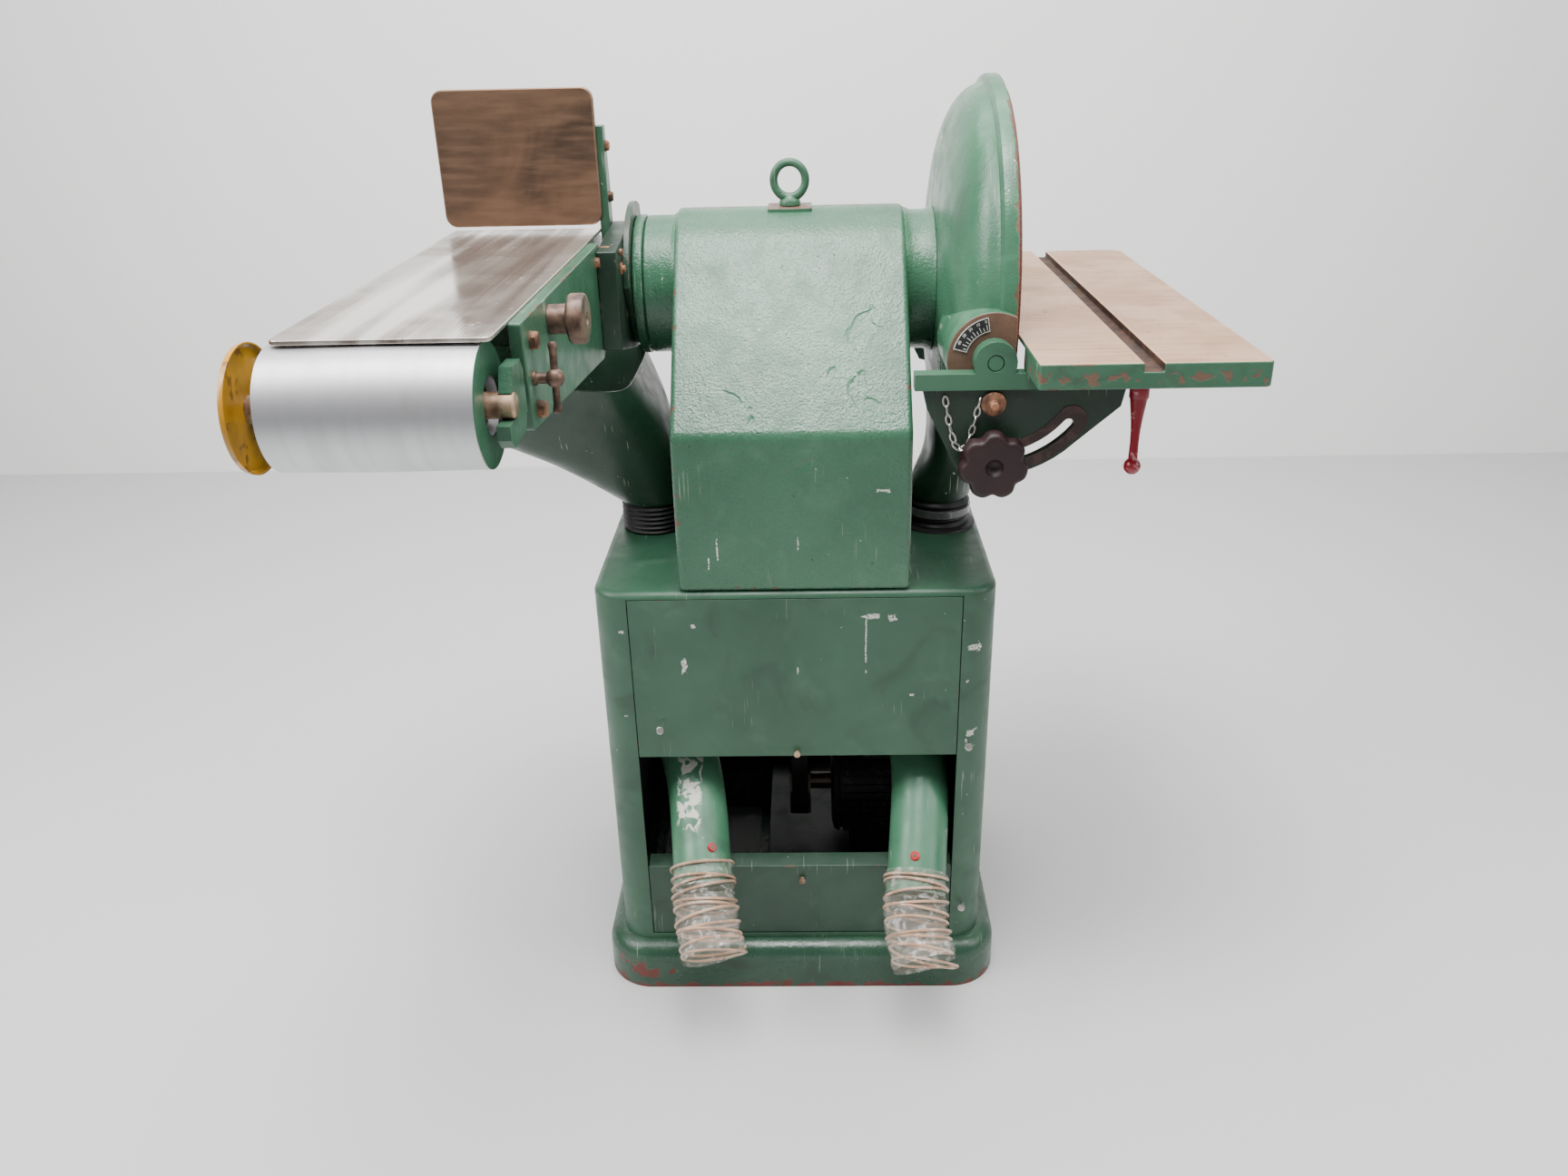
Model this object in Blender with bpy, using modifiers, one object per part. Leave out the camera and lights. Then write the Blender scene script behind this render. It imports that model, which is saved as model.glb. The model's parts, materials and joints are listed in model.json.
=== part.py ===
"""Floor-standing belt and disc sander: a cabinet stand, a spindle head that drives a sanding
disc on the right and a sanding-belt drum on the left, a tilting belt arm and a tilting disc table.

Metres, +Z up, +X towards the disc, -Y towards the open front of the cabinet.
The origin is on the floor at the centre of the base plinth."""
import math

import bmesh
import bpy
from mathutils import Matrix, Vector

# ---------------------------------------------------------------- driving dimensions
GAP = 0.0003                # between pieces that touch

PLINTH_MARGIN = 0.025       # of the plinth past the cabinet
PLINTH_HEIGHT = 0.075
PLINTH_CORNER = 0.070
PLINTH_EDGE_ROUND = 0.026
PLINTH_LEDGE = 0.024        # how far the plinth rim reaches inside the cabinet wall
WEB_WIDTH = 0.150           # cross web under the motor
WEB_THICKNESS = 0.012

CABINET_WIDTH = 0.548
CABINET_DEPTH = 0.475
CABINET_TOP = 0.659
CABINET_CORNER = 0.045
CABINET_SHEET = 0.004
CABINET_LID = 0.006
FRONT_JAMB = 0.048
FRONT_OPENING_MARGIN = 0.009
DOOR_HEIGHT = 0.257         # from the door's lower edge to the cabinet top
SILL_HEIGHT = 0.134         # front edge of the sill above the plinth
SILL_RISE = 0.0075
SILL_DEPTH = 0.024
REAR_OPENING_WIDTH = 0.300
REAR_OPENING_HEIGHT = 0.220
LOUVRE_MARGIN = 0.020
PANEL_CLEARANCE = 0.0010

SPINDLE_Y = 0.025
SPINDLE_RISE = 0.358        # spindle axis above the cabinet top
SHAFT_RADIUS = 0.020
SHAFT_CLEARANCE = 0.0003

HEAD_WIDTH = 0.308
HEAD_SETBACK = 0.0025       # head front behind the cabinet front
HEAD_SLOPE = math.radians(48.8)
HEAD_RADIUS = 0.102
HEAD_WALL = 0.008
LEFT_HUB_RADIUS = 0.093
LEFT_HUB_LENGTH = 0.043
RIGHT_HUB_RADIUS = 0.099
RIGHT_HUB_LENGTH = 0.039
BEARING_RADIUS = 0.0397
BEARING_WIDTH = 0.023
CAP_THICKNESS = 0.0137
SPIGOT_RADIUS = 0.050
SPIGOT_LENGTH = 0.020
EYEBOLT_RING_RADIUS = 0.0215
EYEBOLT_WIRE_RADIUS = 0.0055
EYEBOLT_COLLAR_RADIUS = 0.0145
EYEBOLT_SHANK = 0.018

HOSE_INSET = 0.060          # hose axis inside the cabinet side
HOSE_Y = 0.012
HOSE_RADIUS = 0.047
HOSE_WALL = 0.005
HOSE_LAP = 0.007            # how far the hose reaches past the hole it stands over
HOSE_HEIGHT = 0.043
PIPE_RADIUS = 0.042
PIPE_WALL = 0.002
OUTLET_RADIUS = 0.048
OUTLET_WALL = 0.0025

HOUSING_CLEARANCE = 0.010   # round the disc
HOUSING_WALL = 0.007
HOUSING_DEPTH = 0.0817      # back face to rim
HOUSING_LIP = 0.021
HOUSING_FLAT_RADIUS = 0.120
HOUSING_STEPS = 40
DISC_RADIUS = 0.254
DISC_THICKNESS = 0.014
DISC_PROUD = 0.001          # of the disc plate past the rim
ABRASIVE_THICKNESS = 0.0027
DISC_HUB_RADIUS = 0.045

PIVOT_BACK = 0.0285         # table pivot behind the housing rim
PIVOT_DROP = 0.045          # and below the spindle axis
PIVOT_RADIUS = 0.010
PIVOT_FACE_RADIUS = 0.056
SEAT_CLEARANCE = 0.008      # pivot boss face past the housing
TRUNNION_GAP = 0.002        # boss face to trunnion, room for the scale
TRUNNION_FLANGE = 0.0225
WEB_INSET = 0.006           # outer face of the web inside the flange edge
TRUNNION_WEB = 0.012
FLANGE_DEPTH = 0.020
LUG_RADIUS = 0.026
ARC_RADIUS = 0.121
ARC_SLOT_WIDTH = 0.014
ARC_START = math.radians(-94)
ARC_END = math.radians(-40)
ARC_BAND = 0.023            # slot centre line to the web's outer edge
KNOB_RADIUS = 0.044
LEVER_HUB_RADIUS = 0.012
KNOB_LOBES = 7
KNOB_THICKNESS = 0.026
STUD_RADIUS = 0.006

TABLE_LIFT = 0.018          # table top above its pivot
TABLE_THICKNESS = 0.030
TABLE_DISC_GAP = 0.007
TABLE_WIDTH = 0.264
TABLE_LENGTH = 0.750
TABLE_SLOT_WIDTH = 0.022
TABLE_SLOT_DEPTH = 0.010
TABLE_SLOT_INSET = 0.1295   # slot centre from the edge beside the disc
TABLE_RELIEF = 0.0245       # 45 degree relief under the edge beside the disc

BELT_WIDTH = 0.198
ARM_OFFSET = 0.0345         # end cap to the right face of the side plate
DRUM_RADIUS = 0.0735
ROLLER_RADIUS = 0.060
BELT_CENTRES = 0.642        # drum axis to roller axis
PLATEN_THICKNESS = 0.0045
PLATEN_WIDTH = 0.205
PLATEN_OVERHANG = 0.012     # past the roller axis
BED_THICKNESS = 0.028
SIDE_PLATE_THICKNESS = 0.013
SIDE_PLATE_GAP = 0.0095     # drum end to side plate
SIDE_PLATE_START = 0.052    # behind the roller axis
BACKSTOP_WIDTH = 0.212
BACKSTOP_HEIGHT = 0.173
BACKSTOP_THICKNESS = 0.010
BACKSTOP_CORNER = 0.015
BACKSTOP_LIFT = 0.007
QUADRANT_RADIUS = 0.112
AXLE_RADIUS = 0.0125
GUARD_RADIUS = 0.061
GUARD_GAP = 0.0225          # drum end to the rim of the guard
GUARD_DEPTH = 0.006
HOOD_RISE = 0.033           # of the hood's rim, from the head side to the far side

MOTOR_RADIUS = 0.085
MOTOR_LENGTH = 0.185
MOTOR_FOOT = 0.014
MOTOR_X = 0.052
MOTOR_PLATE = 0.010
MOTOR_Y = 0.025
PULLEY_WIDTH = 0.034
MOTOR_PULLEY_RADIUS = 0.055
SPINDLE_PULLEY_RADIUS = 0.050
BELT_GROOVE = 0.007
DRIVE_BELT_WIDTH = 0.026

STARTER_SIZE = (0.110, 0.058, 0.150)
STARTER_DROP = 0.189        # its lower edge below the cabinet top
BUTTON_RADIUS = 0.014
BUTTON_TRAVEL = 0.004

# ---------------------------------------------------------------- derived places
PLINTH_TOP = PLINTH_HEIGHT
PLINTH_WIDTH = CABINET_WIDTH + 2 * PLINTH_MARGIN
PLINTH_DEPTH = CABINET_DEPTH + 2 * PLINTH_MARGIN
CABINET_BASE = PLINTH_TOP + GAP
CABINET_FRONT_Y = -CABINET_DEPTH / 2
FRONT_OPENING_WIDTH = CABINET_WIDTH - 2 * FRONT_JAMB
DOOR_BOTTOM = CABINET_TOP - DOOR_HEIGHT
SILL_FRONT_HEIGHT = PLINTH_TOP + SILL_HEIGHT
SILL_BACK_HEIGHT = SILL_FRONT_HEIGHT + SILL_RISE
REAR_OPENING_BOTTOM = PLINTH_TOP + 0.035
REAR_OPENING_TOP = REAR_OPENING_BOTTOM + REAR_OPENING_HEIGHT
HOSE_X = CABINET_WIDTH / 2 - HOSE_INSET
HOSE_TOP = CABINET_TOP + HOSE_HEIGHT
SPINDLE_Z = CABINET_TOP + SPINDLE_RISE
SPINDLE = (0.0, SPINDLE_Y, SPINDLE_Z)
HEAD_FRONT_Y = CABINET_FRONT_Y + HEAD_SETBACK
HEAD_BASE = CABINET_TOP + GAP
HEAD_LEFT = -HEAD_WIDTH / 2
HEAD_RIGHT = HEAD_WIDTH / 2
LEFT_HUB_END = HEAD_LEFT - LEFT_HUB_LENGTH
RIGHT_HUB_END = HEAD_RIGHT + RIGHT_HUB_LENGTH
CAP_END = LEFT_HUB_END - GAP - CAP_THICKNESS
HOUSING_BACK = RIGHT_HUB_END + GAP
RIM_X = HOUSING_BACK + HOUSING_DEPTH
DISC_FRONT = RIM_X + DISC_PROUD
HOUSING_RADIUS = DISC_RADIUS + HOUSING_CLEARANCE
BOSS_FACE = HOUSING_RADIUS + SEAT_CLEARANCE     # from the spindle axis along Y, like the next three
TRUNNION_INNER = BOSS_FACE + TRUNNION_GAP
TRUNNION_OUTER = TRUNNION_INNER + TRUNNION_FLANGE
WEB_OUTER = TRUNNION_OUTER - WEB_INSET
PIVOT_X = RIM_X - PIVOT_BACK
PIVOT_Z = SPINDLE_Z - PIVOT_DROP
INDEX_Z = PIVOT_Z - 0.050
TABLE_TOP = PIVOT_Z + TABLE_LIFT
TABLE_BASE = TABLE_TOP - TABLE_THICKNESS
TABLE_INNER_X = DISC_FRONT + TABLE_DISC_GAP
TABLE_SLOT_X = TABLE_INNER_X + TABLE_SLOT_INSET
LEVER_X = TABLE_INNER_X + TABLE_WIDTH * 0.53
LEVER_SEAT = BOSS_FACE + 0.012
BELT_CENTRE_X = CAP_END - ARM_OFFSET - SIDE_PLATE_THICKNESS - SIDE_PLATE_GAP - BELT_WIDTH / 2
DRUM_LEFT = BELT_CENTRE_X - BELT_WIDTH / 2
DRUM_RIGHT = BELT_CENTRE_X + BELT_WIDTH / 2
SIDE_PLATE_LEFT = DRUM_RIGHT + SIDE_PLATE_GAP
SIDE_PLATE_RIGHT = SIDE_PLATE_LEFT + SIDE_PLATE_THICKNESS
PLATEN_BASE = SPINDLE_Z + DRUM_RADIUS + 0.001
PLATEN_TOP = PLATEN_BASE + PLATEN_THICKNESS
ROLLER_Y = SPINDLE_Y - BELT_CENTRES
ROLLER_Z = PLATEN_BASE - 0.001 - ROLLER_RADIUS
BED_TOP = PLATEN_BASE - GAP
BED_BASE = BED_TOP - BED_THICKNESS
PLATEN_FRONT_Y = ROLLER_Y - PLATEN_OVERHANG
PLATEN_REAR_Y = 0.018
SIDE_PLATE_FRONT_Y = ROLLER_Y + SIDE_PLATE_START
SIDE_PLATE_REAR_Y = -0.100
MOTOR_BASE = PLINTH_TOP + GAP + MOTOR_PLATE + GAP
MOTOR_Z = MOTOR_BASE + MOTOR_FOOT + MOTOR_RADIUS
STARTER_Z = CABINET_TOP - STARTER_DROP

ALONG_X = Matrix(((0, 0, 1), (1, 0, 0), (0, 1, 0))).to_4x4()      # drawing x -> Y, y -> Z, depth -> X
ALONG_Y = Matrix(((1, 0, 0), (0, 0, -1), (0, 1, 0))).to_4x4()     # drawing x -> X, y -> Z, depth -> -Y
ALONG_Z = Matrix.Identity(4)


# ---------------------------------------------------------------- tools
def clear_scene():
    for item in list(bpy.data.objects):
        bpy.data.objects.remove(item, do_unlink=True)


def new_collection(name):
    collection = bpy.data.collections.new(name)
    bpy.context.scene.collection.children.link(collection)
    return collection


def new_material(name, colour, roughness, metallic):
    material = bpy.data.materials.new(name)
    material.use_nodes = True
    shader = material.node_tree.nodes["Principled BSDF"]
    shader.inputs["Base Color"].default_value = (*colour, 1.0)
    shader.inputs["Roughness"].default_value = roughness
    shader.inputs["Metallic"].default_value = metallic
    return material


clear_scene()
PARTS = new_collection("belt_and_disc_sander")
CUTTERS = new_collection("cutters")

GREEN = new_material("green_paint", (0.10, 0.23, 0.15), 0.4, 0.0)
STEEL = new_material("worn_steel", (0.32, 0.28, 0.25), 0.35, 1.0)
TABLE_STEEL = new_material("copper_brown_iron", (0.36, 0.24, 0.18), 0.45, 0.9)
ALUMINIUM = new_material("aluminium", (0.62, 0.63, 0.66), 0.3, 1.0)
RUST = new_material("rusty_steel", (0.30, 0.16, 0.10), 0.7, 0.6)
RUBBER = new_material("black_rubber", (0.02, 0.02, 0.02), 0.6, 0.0)
CLEAR = new_material("clear_plastic", (0.85, 0.80, 0.72), 0.2, 0.0)
YELLOW = new_material("yellow_paint", (0.65, 0.42, 0.05), 0.4, 0.0)
RED = new_material("red_plastic", (0.42, 0.03, 0.05), 0.3, 0.0)
MAROON = new_material("maroon_plastic", (0.05, 0.015, 0.02), 0.35, 0.0)
ABRASIVE = new_material("abrasive", (0.20, 0.09, 0.07), 0.9, 0.0)
MOTOR_GREY = new_material("motor_grey", (0.12, 0.14, 0.14), 0.5, 0.3)
PANEL_BLACK = new_material("scale_black", (0.02, 0.02, 0.02), 0.5, 0.2)
STOP_RED = new_material("stop_red", (0.55, 0.02, 0.02), 0.3, 0.0)
START_GREEN = new_material("start_green", (0.02, 0.35, 0.08), 0.3, 0.0)


def add_object(name, mesh, material=None):
    """A part when it has a material, otherwise a hidden cutter."""
    item = bpy.data.objects.new(name, mesh)
    if material:
        mesh.materials.clear()
        mesh.materials.append(material)
        PARTS.objects.link(item)
    else:
        CUTTERS.objects.link(item)
        item.hide_render = True
        item.display_type = "WIRE"
    mesh.shade_smooth()
    mesh.set_sharp_from_angle(angle=math.radians(35))
    return item


def finish_bmesh(name, bm, material=None, closed=True):
    if closed:
        bmesh.ops.recalc_face_normals(bm, faces=bm.faces)
    mesh = bpy.data.meshes.new(name)
    bm.to_mesh(mesh)
    bm.free()
    return add_object(name, mesh, material)


def box(name, low, high, material=None):
    bm = bmesh.new()
    bmesh.ops.create_cube(bm, size=1.0)
    size = [h - l for l, h in zip(low, high)]
    centre = [(h + l) / 2 for l, h in zip(low, high)]
    bmesh.ops.transform(bm, matrix=Matrix.Translation(centre) @ Matrix.Diagonal((*size, 1)), verts=bm.verts)
    return finish_bmesh(name, bm, material)


def rod(name, start, end, radius, material=None, sides=32, end_radius=None):
    """A cylinder or cone from start to end."""
    start, end = Vector(start), Vector(end)
    direction = end - start
    bm = bmesh.new()
    bmesh.ops.create_cone(bm, cap_ends=True, segments=sides, radius1=radius,
                          radius2=radius if end_radius is None else end_radius, depth=direction.length)
    turn = direction.to_track_quat("Z", "Y").to_matrix().to_4x4()
    bmesh.ops.transform(bm, matrix=Matrix.Translation((start + end) / 2) @ turn, verts=bm.verts)
    return finish_bmesh(name, bm, material)


def ball(name, centre, radius, material=None, sides=14):
    bm = bmesh.new()
    bmesh.ops.create_uvsphere(bm, u_segments=sides, v_segments=sides // 2, radius=radius)
    bmesh.ops.transform(bm, matrix=Matrix.Translation(centre), verts=bm.verts)
    return finish_bmesh(name, bm, material)


def arc(centre, radius, start, end, steps):
    """Points of an arc, angles in radians."""
    turns = [start + (end - start) * k / steps for k in range(steps + 1)]
    return [(centre[0] + radius * math.cos(a), centre[1] + radius * math.sin(a)) for a in turns]


def circle(centre, radius, steps=32):
    return arc(centre, radius, 0, math.tau, steps)[:-1]


def rounded(points, radius, steps=4):
    """An outline whose corners become arcs of the given radius, or of one radius for each corner."""
    radii = radius if isinstance(radius, (list, tuple)) else [radius] * len(points)
    outline = []
    for k, corner in enumerate(points):
        here = Vector(corner)
        before = (Vector(points[k - 1]) - here).normalized()
        after = (Vector(points[(k + 1) % len(points)]) - here).normalized()
        half = before.angle(after) / 2
        if radii[k] <= 0:
            outline.append((here.x, here.y))
            continue
        middle = here + (before + after).normalized() * radii[k] / math.sin(half)
        first = here + before * radii[k] / math.tan(half) - middle
        last = here + after * radii[k] / math.tan(half) - middle
        sweep = first.angle_signed(last)
        for step in range(steps + 1):
            turned = Matrix.Rotation(-sweep * step / steps, 2) @ first
            outline.append((middle.x + turned.x, middle.y + turned.y))
    return outline


def rectangle(width, depth, radius, centre=(0.0, 0.0)):
    x, y = width / 2, depth / 2
    corners = [(-x, -y), (x, -y), (x, y), (-x, y)]
    return rounded([(centre[0] + a, centre[1] + b) for a, b in corners], radius)


def slab(name, outlines, plane, low, high, material=None):
    """Outlines, the first one solid and the others holes in it, given a thickness from low to high."""
    curve = bpy.data.curves.new(name, "CURVE")
    curve.dimensions = "2D"
    curve.fill_mode = "BOTH"
    curve.extrude = abs(high - low) / 2
    for outline in outlines:
        spline = curve.splines.new("POLY")
        spline.points.add(len(outline) - 1)
        for point, (x, y) in zip(spline.points, outline):
            point.co = (x, y, 0, 1)
        spline.use_cyclic_u = True
    depth_axis = plane @ Vector((0, 0, 1))
    shift = Vector([abs(value) * (low + high) / 2 for value in depth_axis])
    holder = bpy.data.objects.new(name + "_curve", curve)
    CUTTERS.objects.link(holder)
    holder.matrix_world = Matrix.Translation(shift) @ plane
    bpy.context.view_layer.update()
    solid = bpy.data.meshes.new_from_object(holder.evaluated_get(bpy.context.evaluated_depsgraph_get()))
    solid.transform(holder.matrix_world)
    bpy.data.objects.remove(holder)
    bm = bmesh.new()
    bm.from_mesh(solid)
    bmesh.ops.remove_doubles(bm, verts=bm.verts, dist=1e-6)
    return finish_bmesh(name, bm, material)


def turned(name, profile, centre, axis, material=None, steps=32):
    """A profile of (distance along the axis, radius) points, turned about an axis through centre."""
    mesh = bpy.data.meshes.new(name)
    points = [(radius, 0.0, along) for along, radius in profile]
    edges = [(k, (k + 1) % len(points)) for k in range(len(points))]
    if profile[0][1] == 0 and profile[-1][1] == 0:
        edges.pop()
    mesh.from_pydata(points, edges, [])
    item = bpy.data.objects.new(name + "_profile", mesh)
    CUTTERS.objects.link(item)
    screw = item.modifiers.new("turn", "SCREW")
    screw.steps = screw.render_steps = steps
    screw.use_merge_vertices = True
    screw.merge_threshold = 1e-5
    item.matrix_world = Matrix.Translation(centre) @ Vector(axis).to_track_quat("Z", "Y").to_matrix().to_4x4()
    bpy.context.view_layer.update()
    solid = bpy.data.meshes.new_from_object(item.evaluated_get(bpy.context.evaluated_depsgraph_get()))
    solid.transform(item.matrix_world)
    bpy.data.objects.remove(item)
    bm = bmesh.new()
    bm.from_mesh(solid)
    bmesh.ops.remove_doubles(bm, verts=bm.verts, dist=1e-6)
    return finish_bmesh(name, bm, material)


def loft(name, loops, wall, material=None):
    """A thin shell through loops of points that have equal counts, open at both ends."""
    bm = bmesh.new()
    rings = [[bm.verts.new(point) for point in loop] for loop in loops]
    for lower, upper in zip(rings, rings[1:]):
        for k in range(len(lower)):
            after = (k + 1) % len(lower)
            bm.faces.new((lower[k], lower[after], upper[after], upper[k]))
    bmesh.ops.recalc_face_normals(bm, faces=bm.faces)
    bm.faces.ensure_lookup_table()
    first = bm.faces[0]
    middle = sum((vert.co for vert in rings[0]), Vector()) / len(rings[0])
    if first.normal.dot(first.calc_center_median() - middle) < 0:
        bmesh.ops.reverse_faces(bm, faces=bm.faces)
    item = finish_bmesh(name, bm, material, closed=False)
    shell = item.modifiers.new("wall", "SOLIDIFY")
    shell.thickness = wall
    shell.offset = -1
    shell.use_even_offset = False
    return item


def hollow_tube(name, route, radius, wall, material, sides=18):
    """A hollow tube along a route of points, made from rings square to the route."""
    points = [Vector(p) for p in route]
    loops = []
    for k, point in enumerate(points):
        along = (points[min(k + 1, len(points) - 1)] - points[max(k - 1, 0)]).normalized()
        side = Vector((1, 0, 0))
        side = (side - along * side.dot(along)).normalized()
        up = along.cross(side)
        angles = [math.tau * j / sides for j in range(sides)]
        loops.append([point + radius * (side * math.cos(a) + up * math.sin(a)) for a in angles])
    return loft(name, loops, wall, material)


def smooth_route(points, steps):
    """A Catmull-Rom curve through points."""
    path = []
    padded = [points[0]] + list(points) + [points[-1]]
    for a, b, c, d in zip(padded, padded[1:], padded[2:], padded[3:]):
        a, b, c, d = (Vector(p) for p in (a, b, c, d))
        for step in range(steps):
            t = step / steps
            path.append(0.5 * (2 * b + (c - a) * t + (2 * a - 5 * b + 4 * c - d) * t ** 2
                               + (3 * b - a - 3 * c + d) * t ** 3))
    return path + [Vector(points[-1])]


def combine(item, other, operation, solver="EXACT"):
    change = item.modifiers.new(operation.lower(), "BOOLEAN")
    change.operation = operation
    change.solver = solver
    change.object = other


def cut(item, *cutters, solver="EXACT"):
    for cutter in cutters:
        combine(item, cutter, "DIFFERENCE", solver)


def join(item, *others):
    for other in others:
        combine(item, other, "UNION")


def bevel(item, width, segments=2, angle=40):
    edge = item.modifiers.new("bevel", "BEVEL")
    edge.width = width
    edge.segments = segments
    edge.limit_method = "ANGLE"
    edge.angle_limit = math.radians(angle)


# ---------------------------------------------------------------- stand
def build_plinth():
    inner_width = CABINET_WIDTH - 2 * (CABINET_SHEET + PLINTH_LEDGE)
    inner_depth = CABINET_DEPTH - 2 * (CABINET_SHEET + PLINTH_LEDGE)
    inner_corner = CABINET_CORNER - CABINET_SHEET
    plinth = slab("base_plinth", [rectangle(PLINTH_WIDTH, PLINTH_DEPTH, PLINTH_CORNER)],
                  ALONG_Z, 0, PLINTH_TOP, GREEN)
    weight = plinth.data.attributes.new("bevel_weight_edge", "FLOAT", "EDGE")
    for edge in plinth.data.edges:
        ends = [plinth.data.vertices[k].co.z for k in edge.vertices]
        weight.data[edge.index].value = 1.0 if min(ends) > PLINTH_TOP - GAP else 0.0
    edge = plinth.modifiers.new("round_top", "BEVEL")
    edge.width = PLINTH_EDGE_ROUND
    edge.segments = 3
    edge.limit_method = "WEIGHT"
    side = (inner_width - WEB_WIDTH) / 2
    cut(plinth, slab("plinth_well", [rectangle(inner_width, inner_depth, inner_corner)],
                     ALONG_Z, WEB_THICKNESS, PLINTH_TOP + 0.01))
    for sign in (-1, 1):
        centre = (sign * (WEB_WIDTH + side) / 2, 0)
        cut(plinth, slab("plinth_floor_gap", [rectangle(side, inner_depth, 0.012, centre)],
                         ALONG_Z, -0.01, 2 * WEB_THICKNESS))


def build_cabinet():
    shell = slab("cabinet_shell", [rectangle(CABINET_WIDTH, CABINET_DEPTH, CABINET_CORNER)],
                 ALONG_Z, CABINET_BASE, CABINET_TOP, GREEN)
    bevel(shell, 0.008, 2, 60)
    inside = rectangle(CABINET_WIDTH - 2 * CABINET_SHEET, CABINET_DEPTH - 2 * CABINET_SHEET,
                       CABINET_CORNER - CABINET_SHEET)
    cut(shell, slab("cabinet_space", [inside], ALONG_Z, CABINET_BASE - 0.01, CABINET_TOP - CABINET_LID))
    half = FRONT_OPENING_WIDTH / 2
    cut(shell, box("front_opening", (-half, CABINET_FRONT_Y - 0.02, PLINTH_TOP + FRONT_OPENING_MARGIN),
                   (half, CABINET_FRONT_Y + 2 * CABINET_SHEET, CABINET_TOP - FRONT_OPENING_MARGIN)))
    half = REAR_OPENING_WIDTH / 2
    cut(shell, box("rear_opening", (-half, -CABINET_FRONT_Y - 2 * CABINET_SHEET, REAR_OPENING_BOTTOM),
                   (half, -CABINET_FRONT_Y + 0.02, REAR_OPENING_TOP)))
    for sign in (-1, 1):
        place = (sign * HOSE_X, HOSE_Y)
        cut(shell, rod("hose_hole", (*place, CABINET_TOP - 0.03), (*place, CABINET_TOP + 0.03),
                       HOSE_RADIUS - HOSE_LAP))
    belt_half = SPINDLE_PULLEY_RADIUS + 0.022
    cut(shell, box("belt_slot", (-PULLEY_WIDTH, SPINDLE_Y - belt_half, CABINET_TOP - 0.03),
                   (PULLEY_WIDTH, SPINDLE_Y + belt_half, CABINET_TOP + 0.03)))


def build_panels():
    half = FRONT_OPENING_WIDTH / 2 - PANEL_CLEARANCE
    top = CABINET_TOP - FRONT_OPENING_MARGIN - PANEL_CLEARANCE
    front = CABINET_FRONT_Y
    door = box("door_panel", (-half, front, DOOR_BOTTOM), (half, front + CABINET_SHEET, top), GREEN)
    lip = box("door_lip", (-half, front, DOOR_BOTTOM), (half, front + 0.014, DOOR_BOTTOM + 0.003))
    join(door, lip)
    base = PLINTH_TOP + FRONT_OPENING_MARGIN + PANEL_CLEARANCE
    sheet = CABINET_SHEET
    lower = [(front, base), (front + sheet, base), (front + sheet, SILL_FRONT_HEIGHT - sheet),
             (front + SILL_DEPTH, SILL_BACK_HEIGHT - sheet), (front + SILL_DEPTH, SILL_BACK_HEIGHT),
             (front, SILL_FRONT_HEIGHT)]
    slab("lower_panel", [lower], ALONG_X, -half, half, GREEN)
    rear_half = REAR_OPENING_WIDTH / 2 + LOUVRE_MARGIN
    slots = []
    rows = 7
    low, high = REAR_OPENING_BOTTOM + LOUVRE_MARGIN, REAR_OPENING_TOP - LOUVRE_MARGIN
    for row in range(rows):
        z = low + (high - low) * row / (rows - 1)
        slots.append(rectangle(REAR_OPENING_WIDTH - 2 * LOUVRE_MARGIN, 0.010, 0, (0, z)))
    edge = (REAR_OPENING_BOTTOM + REAR_OPENING_TOP) / 2
    height = REAR_OPENING_TOP - REAR_OPENING_BOTTOM + 2 * LOUVRE_MARGIN
    back = -CABINET_FRONT_Y + GAP
    slab("rear_louvre_panel", [rectangle(2 * rear_half, height, 0.010, (0, edge))] + slots,
         ALONG_Y, back, back + 0.003, GREEN)


def pipe_route(sign):
    """Down from the cabinet lid, then forward and down through the front window."""
    at_window, at_mouth, longer = (0.062, 0.077, 0.0) if sign < 0 else (0.034, 0.048, 0.010)
    top = CABINET_TOP - CABINET_LID - GAP
    steps = ((0, HOSE_Y, 0), (0, HOSE_Y, 0.035), (0, HOSE_Y, 0.080), (0.010, HOSE_Y - 0.045, 0.178),
             (0.034, -0.105, 0.268), (at_window, -0.190, 0.337), (at_mouth, -0.302 - longer * 0.8, 0.431 + longer))
    return [(sign * (HOSE_X - inward), y, top - drop) for inward, y, drop in steps]


def build_dust_pipes():
    for sign, side in ((-1, "left"), (1, "right")):
        route = smooth_route(pipe_route(sign), 2)
        hollow_tube("dust_pipe_" + side, route, PIPE_RADIUS, PIPE_WALL, GREEN)
        ahead = (route[-1] - route[-3]).normalized()
        start = route[-1] - ahead * 0.032
        sag = 0.008 if sign < 0 else 0.014
        outlet = [start, start + ahead * 0.050, start + ahead * 0.085 + Vector((sag * 0.3, -0.002, 0.001)),
                  start + ahead * 0.118 + Vector((sag, -0.006, 0.003))]
        hollow_tube("outlet_hose_" + side, outlet, OUTLET_RADIUS, OUTLET_WALL, CLEAR)


def build_upper_hoses():
    for sign, name in ((-1, "belt_hose_left"), (1, "disc_hose_right")):
        low, high = CABINET_TOP + GAP, HOSE_TOP
        inner = HOSE_RADIUS - HOSE_WALL
        profile = [(high - low, inner), (high - low, HOSE_RADIUS), (0, HOSE_RADIUS), (0, inner)]
        turned(name, profile, (sign * HOSE_X, HOSE_Y, low), (0, 0, 1), RUBBER, 32)


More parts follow.
